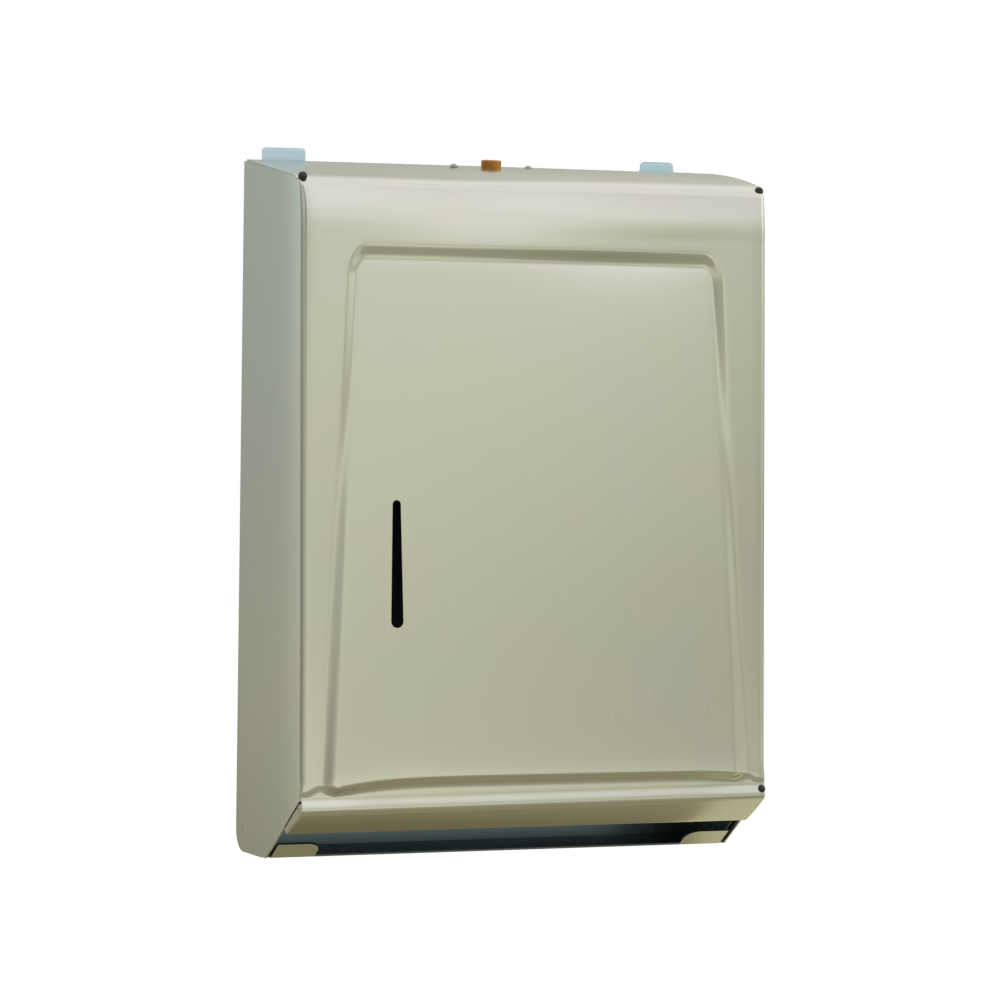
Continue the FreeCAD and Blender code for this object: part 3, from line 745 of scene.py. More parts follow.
@dataclass
class Cover:
    """The folded cover: lip, front, top and sides in one sheet.

    The lip hangs a little in front of the sides' slanted edges and is as wide
    as the front, with a short flange at each end. Rows follow the sheet's outer
    face from the lip's inner hem up the front and over the top, and columns
    count from its middle to both rear edges. Lengths are in millimetres and
    headings in degrees.

    Attributes:
        width: Width over the sides.
        sheet: Thickness of the sheet.
        depth: Depth at the front's lower bend.
        lean: How far the front leans back.
        bend_height: Height of the front's lower bend.
        throat_tip: Depth at which the sides' slanted edges end, at the bottom.
        ridge: Height of the ridge between front and lip, halfway across.
        ridge_tilt: How far it climbs to the right, for each millimetre.
        ridge_blend: Height above it over which that tilt fades.
        ridge_radius: Radius of the ridge.
        lip: Length of the lip.
        lip_slope: Its slope against the level.
        lip_curl: How much more or less each end of the lip slopes.
        lip_hem: Length of the hem folded in behind the lip.
        flange_gap: Gap between the lip's flanges and the sides.
        flange_bend: Radius of the flanges' bends.
        flange_limit: Deepest flange in the ridge, as a share of its radius.
        flange_least: Shallowest flange.
        lip_flange_top: Height above which the lip has no flange.
        hem_radius: Radius of the hems' folds.
        hem_inset: How far the lip's hem ends short of the sides.
        top_bend: The bend from the front over to the top.
        crown_front: Slope of the top at its front.
        crown_rear: Slope of the top at its rear.
        rear_height: Height of the top's rear end.
        rear_gap: Gap between the rear hem and the wall.
        rear_hem: Length of the rear hem.
        top_inset: How far the top ends short of the sides' outer faces.
        wall_gap: Gap between the sides and the wall.
        hinge_corner: Radius of the sides' lower rear corners.
        side_bend: Radius of the bends between the front and the sides.
        side_end: Heading in the top bend at which the sides end.
        bend_tip: Radius of the side bends at the top.
        bend_growth: Height over which they grow to `side_bend`.
        row_blend: Power by which a side's rows leave the front bend's heights.
        left_bow: How far the left side is drawn in at its front bend.
        right_bow: How far the right side is.
        bow_start: Share of the way forwards at which that starts.
        seam: Gap between a side and the top above it.
        left_sag: How far the top sags at its left.
        right_fall: How far the top falls at its rear right.
        slot_centre: Where the level slot stands, across the front.
        slot_low: Height of its lower end.
        slot_high: Height of its upper end.
        slot_low_width: Width at its lower end.
        slot_high_width: Width at its upper end.
        pin_hole: Radius of the holes for the hinge pins.
        lock_hole: Radius of the hole for the lock.
        rivet_hole: Radius of the holes for the lock's rivets.
        bead: Radius of the dark beads of painted shade at the corners.
        coarse: Longest distance between rows on the plain front.
        fine: Longest distance between rows, and between columns, on the stamping.
        foot_zone: Length of stamped front above the ridge.
        panel_zone: Length of stamped front under the top bend.
        inner_columns: Columns from the middle to the panel's side wall.
        outer_columns: Columns from that wall to the bend.
        bend_columns: Columns in a bend.
        band: Half the width of the columns along the panel's side wall.
        panel: The stamping.
        swellings: The sheet's slight swellings above the panel.
        swelling_fade: Length along the top over which they fade.
        flat_map: Name of the unfolded sheet's UV map.
    """

    width: float = 279.4
    sheet: float = 0.9
    depth: float = 101.6
    lean: float = 1.85
    bend_height: float = 37.5
    throat_tip: float = 48.6
    ridge: float = 33.0
    ridge_tilt: float = 0.006
    ridge_blend: float = 20.0
    ridge_radius: float = 4.1
    lip: float = 25.1
    lip_slope: float = 30.5
    lip_curl: float = 3.5
    lip_hem: float = 6.0
    flange_gap: float = 0.5
    flange_bend: float = 1.6
    flange_limit: float = 0.85
    flange_least: float = 0.2
    lip_flange_top: float = 36.1
    hem_radius: float = 1.1
    hem_inset: float = 3.6
    top_bend: tuple[Run, ...] = (Run(12.0, 83.0, 1.2), Run(10.0, 74.0, 1.0), Run(6.0, 30.0, 0.6))
    crown_front: float = 13.0
    crown_rear: float = 1.2
    rear_height: float = 384.9
    rear_gap: float = 3.4
    rear_hem: float = 6.0
    top_inset: float = 0.03
    wall_gap: float = 0.4
    hinge_corner: float = 12.1
    side_bend: float = 4.0
    side_end: float = 33.0
    bend_tip: float = 2.6
    bend_growth: float = 14.0
    row_blend: float = 10.0
    left_bow: float = 0.8
    right_bow: float = 0.1
    bow_start: float = 0.4
    seam: float = 0.05
    left_sag: float = 2.4
    right_fall: float = 0.5
    slot_centre: float = -84.0
    slot_low: float = 129.8
    slot_high: float = 199.1
    slot_low_width: float = 7.3
    slot_high_width: float = 4.7
    pin_hole: float = 2.55
    lock_hole: float = 5.0
    rivet_hole: float = 1.65
    bead: float = 2.5
    coarse: float = 5.0
    fine: float = 0.75
    foot_zone: float = 23.0
    panel_zone: float = 26.0
    inner_columns: int = 22
    outer_columns: int = 3
    bend_columns: int = 8
    band: float = 7.5
    panel: StampedPanel = field(default_factory=StampedPanel)
    swellings: tuple[Swelling, ...] = (
        Swelling(336.0, 20.0, 0.9, -32.0, 50.0),
        Swelling(342.0, 12.0, -0.32, 88.0, 50.0),
        Swelling(354.0, 12.0, 0.32, 88.0, 50.0),
    )
    swelling_fade: float = 45.0
    flat_map: str = "flat_sheet"

    def __post_init__(self) -> None:
        """Works out the rows and columns of the sheet."""
        self.chamfer: float = self.bend_height / (self.depth - self.throat_tip)
        self.stations: list[Station] = self.side_view()
        up = 90 - self.lean
        straight = [i for i, s in enumerate(self.stations) if abs(s.heading - up) < 0.01]
        self.ridge_row: int = straight[0]
        self.first_side: int = next(i for i in straight
                                    if self.stations[i].z > self.bend_height - 0.1)
        # The lip's hem turns back past the lip's own heading and has no flange.
        self.lip_rows: list[int] = [i for i, s in enumerate(self.stations)
                                    if s.heading < 181 + self.lip_curl - self.lip_slope
                                    and s.z < self.lip_flange_top
                                    and i <= straight[-1]]
        upper = [i for i, s in enumerate(self.stations) if i > straight[-1]]
        self.last_side: int = max(i for i in upper if self.stations[i].heading >= self.side_end)
        self.bend_end: int = next(i for i in upper
                                  if self.stations[i].heading <= self.top_bend[-1].heading + 1e-6)
        self.flap_end: int = max(i for i in upper if self.stations[i].heading > 0)
        self.measured_from: Station = self.stations[straight[-1]]
        self.columns: list[tuple[float, float]] = self.front_columns()
        self.shares: list[float] = self.side_shares()
        self.front_half: int = len(self.columns) - 1 + self.outer_columns
        self.flank: int = self.bend_columns + len(self.shares)

    def runs(self, front: float, flap: float) -> list[Run]:
        """The side view, from the lip's inner hem over the front and top to the rear hem.

        Args:
            front: Length of the front's straight part.
            flap: Length of the top's straight part.

        Returns:
            The runs in order.
        """
        up = 90 - self.lean
        lip = 180 - self.lip_slope
        hem_turn = math.pi * self.hem_radius
        ridge_turn = math.radians(lip - self.lip_curl - up) * self.ridge_radius
        plain = front - self.foot_zone - self.panel_zone
        return [
            Run(self.lip_hem, lip + self.lip_curl + 180, 3.0),
            Run(hem_turn, lip + self.lip_curl, 0.45),
            Run(self.lip, lip - self.lip_curl, 2.0),
            Run(ridge_turn, up, 0.5),
            Run(self.foot_zone, up, self.fine),
            Run(plain, up, self.coarse),
            Run(self.panel_zone, up, self.fine),
            *self.top_bend,
            Run(9.0, self.crown_front, 1.0),
            Run(flap, self.crown_rear, 4.0),
            Run(math.radians(90 + self.crown_rear) * self.hem_radius, -90, 0.35),
            Run(self.rear_hem, -90, 2.0),
        ]

    def marched(self, front: float, flap: float) -> list[Station]:
        """Walks the side view and gives its rows, with the ridge in its place.

        Args:
            front: Length of the front's straight part.
            flap: Length of the top's straight part.

        Returns:
            The stations from the lip's inner hem to the rear hem.
        """
        runs = self.runs(front, flap)
        y = z = along = 0.0
        heading = runs[0].heading
        stations = [Station(y, z, heading, along)]
        for run in runs:
            pieces = max(1, math.ceil(run.length / run.step))
            stride = run.length / pieces
            turn = (run.heading - heading) / pieces
            for _ in range(pieces):
                middle = math.radians(heading + turn / 2)
                y += math.cos(middle) * stride
                z += math.sin(middle) * stride
                heading += turn
                along += stride
                stations.append(Station(y, z, heading, along))
        ridge = next(s for s in stations if abs(s.heading - 90 + self.lean) < 0.01)
        lean_back = (self.ridge - self.bend_height) * math.tan(math.radians(self.lean))
        dy = -self.depth + lean_back - ridge.y
        dz = self.ridge - ridge.z
        return [Station(s.y + dy, s.z + dz, s.heading, s.along) for s in stations]

    def side_view(self) -> list[Station]:
        """The side view whose top reaches the rear edge at its height.

        Returns:
            The stations. The front's and the top's lengths start as guesses,
            and each pass makes up for what the one before fell short.
        """
        front, flap = 310.0, 80.0
        up = math.radians(90 - self.lean)
        back = math.radians((self.crown_front + self.crown_rear) / 2)
        between = math.sin(up - back)
        for _ in range(4):
            last = [s for s in self.marched(front, flap) if s.heading >= self.crown_rear - 1e-6][-1]
            short_y = -self.rear_gap - self.hem_radius - last.y
            short_z = self.rear_height - last.z
            front += (short_z * math.cos(back) - short_y * math.sin(back)) / between
            flap += (short_y * math.sin(up) - short_z * math.cos(up)) / between
        return self.marched(front, flap)

    def front_columns(self) -> list[tuple[float, float]]:
        """Places across the right half of the front.

        Returns:
            Pairs of a share and a distance: X is the share of the panel's half
            width at that height, plus the distance.
        """
        inner = [i / self.inner_columns for i in range(self.inner_columns)]
        count = round(2 * self.band / self.fine)
        dense = [(1.0, -self.band + 2 * self.band * i / count) for i in range(count + 1)]
        return [(share, -self.band * share) for share in inner] + dense

    def side_shares(self) -> list[float]:
        """Places along a side, closest together at its ends.

        Returns:
            Shares of the way from the rear edge to the front bend, from the
            front back.
        """
        reach = self.depth - self.side_bend - self.wall_gap
        tip = (self.throat_tip - self.wall_gap) / reach
        rear = [0.0, 0.006, 0.018, 0.036, 0.06, 0.09, 0.125, 0.2, 0.3, 0.4]
        front = [mix(tip, 1.0, s) for s in (0, 0.16, 0.32, 0.48, 0.62, 0.74, 0.83, 0.9,
                                            0.94, 0.965, 0.98, 0.99)]
        return list(reversed(rear + front))

    def lower_outline(self, y: float) -> float:
        """Height of a side's lower edge at a depth.

        Args:
            y: The depth.

        Returns:
            The height: the slant at the front, then level, then the rear corner.
        """
        centre = -self.wall_gap - self.hinge_corner
        corner = 0.0
        if y > centre:
            inner = self.hinge_corner ** 2 - (y - centre) ** 2
            corner = self.hinge_corner - math.sqrt(max(inner, 0.0))
        return max((-self.throat_tip - y) * self.chamfer, corner, 0.0)

    def upper_outline(self, y: float, x: float) -> float:
        """Height of a side's upper edge at a depth, just under the top.

        Args:
            y: The depth.
            x: Where the side stands.

        Returns:
            The height.
        """
        top = [(s.y, s.z - self.sag(x, s)) for s in self.stations[self.last_side:]
               if s.heading > -1]
        under = self.sheet + self.seam
        for (y0, z0), (y1, z1) in zip(top, top[1:]):
            if y0 <= y <= y1:
                return mix(z0, z1, (y - y0) / (y1 - y0)) - under
        return (top[0][1] if y < top[0][0] else top[-1][1]) - under

    def sag(self, x: float, station: Station) -> float:
        """How far the top lies lower than in its side view.

        Args:
            x: Across the top.
            station: The row.

        Returns:
            The fall: on the left most half way to the wall, on the right at the wall.
        """
        start, end = (self.stations[i].along for i in (self.bend_end, self.flap_end))
        past = min(max((station.along - start) / (end - start), 0.0), 1.0)
        half = self.width / 2
        fall = self.left_sag * (1 - smooth(-half, half * 0.6, x)) * 4 * past * (1 - past)
        return fall + self.right_fall * smooth(0.0, half, x) * smooth(0.1, 0.7, past)

    def bow(self, sign: float, share: float) -> float:
        """How far a side is drawn in towards its front bend."""
        reach = max(share - self.bow_start, 0.0) / (1 - self.bow_start)
        return (self.left_bow if sign < 0 else self.right_bow) * reach ** 5

    def tilted(self, x: float, station: Station) -> float:
        """How far the tilt of the lower ridge lifts the sheet.

        Args:
            x: Across the front.
            station: The row.

        Returns:
            The lift, which fades up the front and down the lip.
        """
        if station.z >= self.ridge:
            share = 1 - smooth(self.ridge, self.ridge + self.ridge_blend, station.z)
        else:
            share = smooth(self.stations[self.lip_rows[0]].z, self.ridge, station.z)
        return self.ridge_tilt * x * share

    def surface(self, x: float, row: int) -> tuple[float, float]:
        """A point of the front strip, on its outer face.

        Args:
            x: Across the front.
            row: The row.

        Returns:
            The depth and the height.
        """
        station = self.stations[row]
        lift = self.tilted(x, station)
        move = 0.0
        if self.ridge_row <= row <= self.last_side:
            move = self.panel.relief(x, station.z + lift, self.ridge + self.ridge_tilt * x)
        height = self.measured_from.z + station.along - self.measured_from.along
        fade = smooth(0, self.swelling_fade, station.along - self.stations[self.bend_end].along)
        move -= (1 - fade) * sum(one.pull(x, height) for one in self.swellings)
        y, z = station.moved(move)
        return y, z + lift - self.sag(x, station)

    def corner_radius(self, row: int) -> float:
        """Outer radius of the bend at a row's end.

        Args:
            row: The row.

        Returns:
            The radius, smallest at the lip's flanges and small again at the top.
        """
        z = self.stations[row].z
        high = self.stations[self.last_side].z
        grown = smooth(self.bend_height, self.bend_height + self.bend_growth, z)
        full = mix(self.side_bend, self.bend_tip, smooth(high - self.bend_growth, high, z))
        return mix(self.flange_bend, full, grown)

    def fold_limit(self, row: int) -> float:
        """Deepest flange at a row of the lip, so that its rows don't cross in the ridge.

        Args:
            row: The row.

        Returns:
            The flange's depth.
        """
        past = self.stations[row].along - self.stations[self.ridge_row].along
        turn = math.radians(90 + self.lean - self.lip_slope) * self.ridge_radius
        return self.flange_limit * self.ridge_radius + max(past, -turn - past, 0.0)

    def half_width(self, row: int) -> float:
        """Half the width of the front strip at a row.

        Args:
            row: The row.

        Returns:
            The distance from the middle to the strip's end.
        """
        if row > self.last_side:
            hem = self.stations[row].heading < 0
            return self.width / 2 - (self.sheet + self.seam if hem else self.top_inset)
        if row < self.lip_rows[0]:
            return self.width / 2 - self.hem_inset
        return self.width / 2 - self.corner_radius(row)

    def on_front(self, column: int, row: int) -> tuple[Vector, float]:
        """Finds a point of the front strip.

        Args:
            column: The column, less than 0 on the left.
            row: The row.

        Returns:
            The point, and its distance across the flat sheet.
        """
        station = self.stations[row]
        index = abs(column)
        limit = self.half_width(row)
        level = min(max(station.z, self.bend_height), self.panel.top)
        reach = self.panel.half(level)
        if index < len(self.columns):
            share, offset = self.columns[index]
            x = share * reach + offset
        else:
            start = reach + self.columns[-1][1]
            x = mix(start, limit, (index - len(self.columns) + 1) / self.outer_columns)
        x = math.copysign(min(x, limit), column) if column else 0.0
        y, z = self.surface(x, row)
        return Vector((x, y, z)), x

    def on_flank(self, column: int, row: int) -> tuple[Vector, float]:
        """Finds a point of a bend, a side or a lip's flange.

        Args:
            column: The column, less than 0 on the left.
            row: The row.

        Returns:
            The point, and its distance across the flat sheet.
        """
        station = self.stations[row]
        sign = math.copysign(1, column)
        step = abs(column) - self.front_half
        bent = min(step / self.bend_columns, 1.0)
        angle = math.pi / 2 * bent
        radius = self.corner_radius(row)
        start = self.width / 2 - radius
        y, z = self.surface(sign * start, row)
        retreat = radius * (1 - math.cos(angle))
        if row < self.ridge_row:
            out_y, out_z = station.outward()
            y, z = y - out_y * retreat, z - out_z * retreat
        else:
            y += retreat
        x = start + radius * math.sin(angle) - self.bow(sign, 1.0) * smooth(0, 1, bent)
        arc = start + radius * angle
        if step <= self.bend_columns:
            return Vector((sign * x, y, z)), sign * arc
        if row in self.lip_rows:
            out_y, out_z = station.outward()
            room = self.lower_outline(y) - self.flange_gap - z
            fold = max(room / (-out_z - out_y * self.chamfer), self.flange_least)
            fold = min(fold, self.fold_limit(row))
            return Vector((sign * x, y - out_y * fold, z - out_z * fold)), sign * (arc + fold)
        share = self.shares[step - self.bend_columns - 1]
        deep = mix(-self.wall_gap, y, share)
        low, high = self.stations[self.first_side].z, self.stations[self.last_side].z
        height = (station.z - low) / (high - low)
        edge = sign * self.width / 2

        def level(at: float) -> float:
            """Height of this row where the side is that deep."""
            return mix(self.lower_outline(at), self.upper_outline(at, edge), height)

        z = level(deep) + (z - level(y)) * share ** self.row_blend
        x = self.width / 2 - self.bow(sign, share)
        return Vector((sign * x, deep, z)), sign * (arc + deep - y)

    def build(self) -> bpy.types.Object:
        """Models the cover as one sheet and gives it its thickness.

        Returns:
            The cover's mesh object.
        """
        across = 2 * (self.front_half + self.flank)
        rows = len(self.stations) - 1
        deselect()
        bpy.ops.mesh.primitive_grid_add(x_subdivisions=across, y_subdivisions=rows, size=1)
        cover = started("folded_cover")
        flat = cover.data.uv_layers[0]
        flat.name = self.flat_map
        across_at = [0.0] * len(cover.data.vertices)
        for vertex in cover.data.vertices:
            column = round((vertex.co.x + 0.5) * across) - across // 2
            row = round((vertex.co.y + 0.5) * rows)
            finder = self.on_front
            if abs(column) > self.front_half:
                finder = self.on_flank
                if row not in self.lip_rows:
                    row = min(max(row, self.first_side), self.last_side)
            point, across_at[vertex.index] = finder(column, row)
            vertex.co = placed(*point)
        for corner in cover.data.loops:
            row = corner.vertex_index // (across + 1)
            flat.data[corner.index].uv = (across_at[corner.vertex_index] * MM,
                                          self.stations[row].along * MM)
        with editing(cover) as mesh:

            def off_sheet(face: bmesh.types.BMFace) -> bool:
                """Says whether a face of the grid lies beside the sheet's own outline.

                Args:
                    face: The face.

                Returns:
                    True where it has to go.
                """
                column, row = face.index % across, face.index // across
                step = min(column, across - 1 - column)
                if step >= self.flank or self.first_side <= row < self.last_side:
                    return False
                in_lip = row in self.lip_rows and row + 1 in self.lip_rows
                return not in_lip or step < self.flank - self.bend_columns - 1

            choose(mesh, mesh.faces, off_sheet)
            bpy.ops.mesh.delete(type="FACE")
        apply_modifier(cover, "SOLIDIFY", thickness=self.sheet * MM, offset=-1)
        self.cut_openings(cover)
        with editing(cover):
            bpy.ops.mesh.select_all(action="SELECT")
            bpy.ops.mesh.remove_doubles(threshold=0.00001)
        activate(cover)
        bpy.ops.object.shade_smooth_by_angle(angle=math.radians(38))
        return cover

    def cut_openings(self, cover: bpy.types.Object) -> None:
        """Cuts the level slot and the hinge, lock and rivet holes.

        Args:
            cover: The cover, with its thickness.
        """
        cut(cover, self.slot_cutter())
        for node in ("right_hinge_pin", "left_hinge_pin"):
            low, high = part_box(node)
            centre = (low + high) / 2
            centre.x = math.copysign(self.width / 2 * MM, centre.x)
            drill(cover, self.pin_hole * MM, 8 * MM, centre, Vector((1, 0, 0)))
        axis = Vector(next(j for j in frame["joints"] if j["name"] == "lock_turn")["axis"])
        for node, radius in (("lock_body", self.lock_hole), ("left_lock_rivet", self.rivet_hole),
                             ("right_lock_rivet", self.rivet_hole)):
            low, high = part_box(node)
            drill(cover, radius * MM, 30 * MM, (low + high) / 2, axis)

    def corner_beads(self) -> bpy.types.Object:
        """Models dark beads of painted shade, which stand for the openings where the bends meet at
        three of the cover's corners.

        Returns:
            The beads, as one mesh object.
        """
        corner = self.stations[self.last_side]
        half = self.width / 2 - self.bead
        # Each sits where its corner's bends meet.
        spots = [(-half + 0.6, corner.y - 0.1, corner.z + 1.4), (half, corner.y + 0.7, corner.z),
                 (half, -self.depth + 1.5, 36.6)]
        beads = []
        for spot in spots:
            deselect()
            bpy.ops.mesh.primitive_uv_sphere_add(
                segments=24, ring_count=12, radius=self.bead * MM, location=placed(*spot))
            beads.append(started("shade_bead"))
        activate(beads[0])
        for other in beads:
            other.select_set(True)
        bpy.ops.object.join()
        joined = started("corner_beads")
        bpy.ops.object.shade_smooth()
        return joined

    def slot_cutter(self) -> bpy.types.Object:
        """The cutter for the level slot: long, round at its ends and wider at its foot.

        Returns:
            The cutter's mesh object.
        """
        middle = (self.slot_low + self.slot_high) / 2
        length = self.slot_high - self.slot_low
        deselect()
        bpy.ops.mesh.primitive_cube_add(
            size=1, location=placed(self.slot_centre, -self.depth, middle),
            scale=(self.slot_low_width * MM, 30 * MM, length * MM))
        cutter = started("slot")
        level = placed(0, 0, middle).z
        with editing(cutter) as mesh:
            choose(mesh, mesh.verts, lambda v: v.co.z > level)
            narrow = self.slot_high_width / self.slot_low_width
            bpy.ops.transform.resize(value=(narrow, 1, 1),
                                     center_override=placed(self.slot_centre, 0, middle))
            for high, width in ((False, self.slot_low_width), (True, self.slot_high_width)):
                mesh = bmesh.from_edit_mesh(cutter.data)

                def at_end(edge: bmesh.types.BMEdge) -> bool:
                    """Whether an edge runs through the sheet at this end."""
                    start, end = (v.co for v in edge.verts)
                    return abs(start.y - end.y) > 10 * MM and (start.z > level) == high

                choose(mesh, mesh.edges, at_end)
                bpy.ops.mesh.bevel(offset=width * 0.49 * MM, segments=8, affect="EDGES")
        return cutter


@dataclass
class TopClip:
    """One of the two plastic tabs that stand behind the cover's rear edge.

    Attributes:
        side: The side that it stands on.
        low: X of its lower corners, in millimetres.
        high: X of its upper corners.
        top: Height of its upper edge.
        round: Radius of its upper corners.
        edge: Radius of its edges.
    """

    side: Side
    low: tuple[float, float]
    high: tuple[float, float]
    top: float
    round: float
    edge: float = 0.3

    @property
    def node(self) -> str:
        """The node that the tab replaces."""
        return f"{self.side.value}_top_clip"

    def build(self) -> bpy.types.Object:
        """Models the tab between the back plate and the cover.

        Returns:
            The tab's mesh object.
        """
        low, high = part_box(self.node)
        top = placed(0, 0, self.top).z
        size = Vector((MM * (self.low[1] - self.low[0]), high.y - low.y, top - low.z))
        centre = Vector((MM * sum(self.low) / 2, (low.y + high.y) / 2, (low.z + top) / 2))
        deselect()
        bpy.ops.mesh.primitive_cube_add(size=1, location=centre, scale=size)
        tab = started(f"{self.node}_tab")
        with editing(tab) as mesh:
            for end, x in enumerate(self.high):
                choose(mesh, mesh.verts, lambda v: v.co.z > centre.z
                       and (v.co.x > centre.x) == bool(end))
                bpy.ops.transform.translate(value=(MM * (x - self.low[end]), 0, 0))
                mesh = bmesh.from_edit_mesh(tab.data)

            def upper_corner(edge: bmesh.types.BMEdge) -> bool:
                """Whether an edge is one of the two rounded upper corners."""
                start, end = (v.co for v in edge.verts)
                return min(start.z, end.z) > centre.z and abs(start.x - end.x) < MM / 10

            choose(mesh, mesh.edges, upper_corner)
            bpy.ops.mesh.bevel(offset=self.round * MM, segments=6, affect="EDGES")
        apply_modifier(tab, "BEVEL", width=self.edge * MM, segments=3, limit_method="ANGLE")
        activate(tab)
        bpy.ops.object.shade_smooth_by_angle(angle=math.radians(40))
        return tab


def glowing_material(name: str, colour: ColourMaker) -> bpy.types.Material:
    """Makes a material that only glows: a painted reflection of lit cloth or card, for metal to
    mirror.

    Args:
        name: The material's name.
        colour: Gives the colour, or builds it in the node tree from the
            object coordinates.

    Returns:
        The material.
    """
    made, tree, shader = new_material(name)
    tree.nodes.remove(shader)
    place = add_node(tree, "ShaderNodeTexCoord").outputs["Object"]
    glow = add_node(tree, "ShaderNodeEmission", inputs={"Color": colour(tree, place)})
    tree.links.new(glow.outputs[0], tree.nodes["Material Output"].inputs["Surface"])
    return made


def only_mirrored(piece: bpy.types.Object) -> None:
    """Lets a stage piece show in glossy metal only, without light or shadow of its own.

    Args:
        piece: The stage piece.
    """
    piece.visible_camera = False
    piece.visible_diffuse = False
    piece.visible_transmission = False
    piece.visible_volume_scatter = False
    piece.visible_shadow = False


@dataclass
class MirrorTent:
    """The round tent whose inside the metal mirrors, seen by nothing else.

    Its glowing inside is painted reflection: colours set by height and direction
    put bands of light and shade into the metal. It is white above, grey-green
    ahead, dimmer on the left and behind, and olive underfoot. Colours are in
    linear light, and directions run in degrees from straight before the cabinet
    towards the viewer's right.

    Attributes:
        radius: Radius of the tent, in millimetres.
        foot: Height of its floor.
        rim: Height of its open top.
        ahead: Colours of the front wall by elevation, in degrees.
        behind: Colours of the rear wall by elevation.
        rear_blend: Depths, in metres, between which front wall turns to rear.
        low_tint: Factors for the wall's lower part, by direction.
        high_tint: Factors for its upper part, by direction.
        tint_blend: Elevations between which the lower turns to the upper.
        floor_spot: The floor's darkest place, in metres: painted shade for the metal to mirror.
        floor_reach: Distance from there, in metres, at which its colours end.
        floor_bands: Colours of the floor by share of that distance.
    """

    radius: float = 3500.0
    foot: float = -1190.0
    rim: float = 3500.0
    ahead: Bands = (
        (-18.0, (0.60, 0.60, 0.49)),
        (-8.5, (0.66, 0.67, 0.54)),
        (-4.5, (0.76, 0.77, 0.63)),
        (-1.5, (0.67, 0.68, 0.56)),
        (1.2, (0.515, 0.505, 0.41)),
        (3.8, (0.565, 0.575, 0.46)),
        (7.5, (0.67, 0.70, 0.56)),
        (12.0, (0.76, 0.79, 0.68)),
        (19.0, (0.97, 0.97, 0.95)),
        (45.0, (1.0, 1.0, 0.99)),
    )
    behind: Bands = (
        (-18.0, (0.20, 0.19, 0.13)),
        (-8.0, (0.32, 0.32, 0.24)),
        (-3.5, (0.42, 0.43, 0.34)),
        (1.0, (0.42, 0.44, 0.39)),
        (8.0, (0.45, 0.50, 0.47)),
        (18.0, (0.48, 0.50, 0.425)),
        (30.0, (0.65, 0.65, 0.585)),
        (44.0, (0.92, 0.92, 0.88)),
    )
    rear_blend: tuple[float, float] = (-0.9, 0.6)
    low_tint: tuple[tuple[float, float], ...] = (
        (-180.0, 0.73), (-162.0, 0.71), (-150.0, 1.39), (-135.0, 1.29), (-115.0, 0.75),
        (-90.0, 0.55), (-67.0, 0.60), (-47.0, 0.72), (-34.0, 0.85), (-13.0, 1.02),
        (6.0, 1.09), (14.0, 1.35), (22.0, 1.12), (30.0, 0.72), (39.0, 0.92), (60.0, 1.03),
        (107.0, 0.99), (137.0, 0.92), (180.0, 0.73),
    )
    high_tint: tuple[tuple[float, float], ...] = (
        (-180.0, 0.84), (-162.0, 0.67), (-150.0, 1.46), (-135.0, 1.42), (-115.0, 0.80),
        (-90.0, 0.60), (-67.0, 0.65), (-47.0, 0.70), (-34.0, 0.62), (-18.0, 0.42),
        (-3.0, 0.42), (6.0, 0.64), (14.0, 0.98), (22.0, 1.2), (30.0, 0.80), (39.0, 0.87),
        (52.0, 1.22), (75.0, 1.53), (107.0, 1.34), (137.0, 1.18), (180.0, 0.84),
    )
    tint_blend: tuple[float, float] = (4.0, 11.0)
    floor_spot: tuple[float, float] = (0.5, 1.2)
    floor_reach: float = 4.0
    floor_bands: Bands = (
        (0.06, (0.17, 0.15, 0.08)),
        (0.14, (0.27, 0.245, 0.14)),
        (0.24, (0.36, 0.34, 0.21)),
        (0.42, (0.31, 0.29, 0.19)),
        (0.65, (0.37, 0.36, 0.25)),
        (1.0, (0.42, 0.42, 0.31)),
    )

    def height_of(self, elevation: float) -> float:
        """Height on the wall that shows at an elevation, as a share of the wall."""
        z = self.radius * math.tan(math.radians(elevation))
        return min(max((z - self.foot) / (self.rim - self.foot), 0.0), 1.0)

    def wall_colour(self, tree: bpy.types.NodeTree,
                    place: bpy.types.NodeSocket) -> bpy.types.NodeSocket:
        """Builds the wall's colour from height and direction.

        Args:
            tree: The cloth's node tree.
            place: The object coordinates.

        Returns:
            The colour's socket.
        """
        parts = add_node(tree, "ShaderNodeSeparateXYZ", inputs={"Vector": place})
        share = add_node(tree, "ShaderNodeMapRange",
                         inputs={"Value": parts.outputs["Z"],
                                 "From Min": placed(0, 0, self.foot).z,
                                 "From Max": placed(0, 0, self.rim).z}).outputs["Result"]
        faces = [ramp(tree, share, [(self.height_of(e), (*colour, 1)) for e, colour in bands])
                 for bands in (self.ahead, self.behind)]
        front = add_node(tree, "ShaderNodeMath", {"operation": "MULTIPLY"},
                         {0: parts.outputs["Y"], 1: -1.0}).outputs[0]
        turn = add_node(tree, "ShaderNodeMath", {"operation": "ARCTAN2"},
                        {0: parts.outputs["X"], 1: front}).outputs[0]
        around = add_node(tree, "ShaderNodeMapRange",
                          inputs={"Value": turn, "From Min": -math.pi,
                                  "From Max": math.pi}).outputs["Result"]
        rear = add_node(tree, "ShaderNodeMapRange", {"interpolation_type": "SMOOTHSTEP"},
                        {"Value": parts.outputs["Y"], "From Min": self.rear_blend[0],
                         "From Max": self.rear_blend[1]}).outputs["Result"]
        both = add_node(tree, "ShaderNodeMix", {"data_type": "RGBA"},
                        {"Factor": rear, 6: faces[0], 7: faces[1]}).outputs[2]
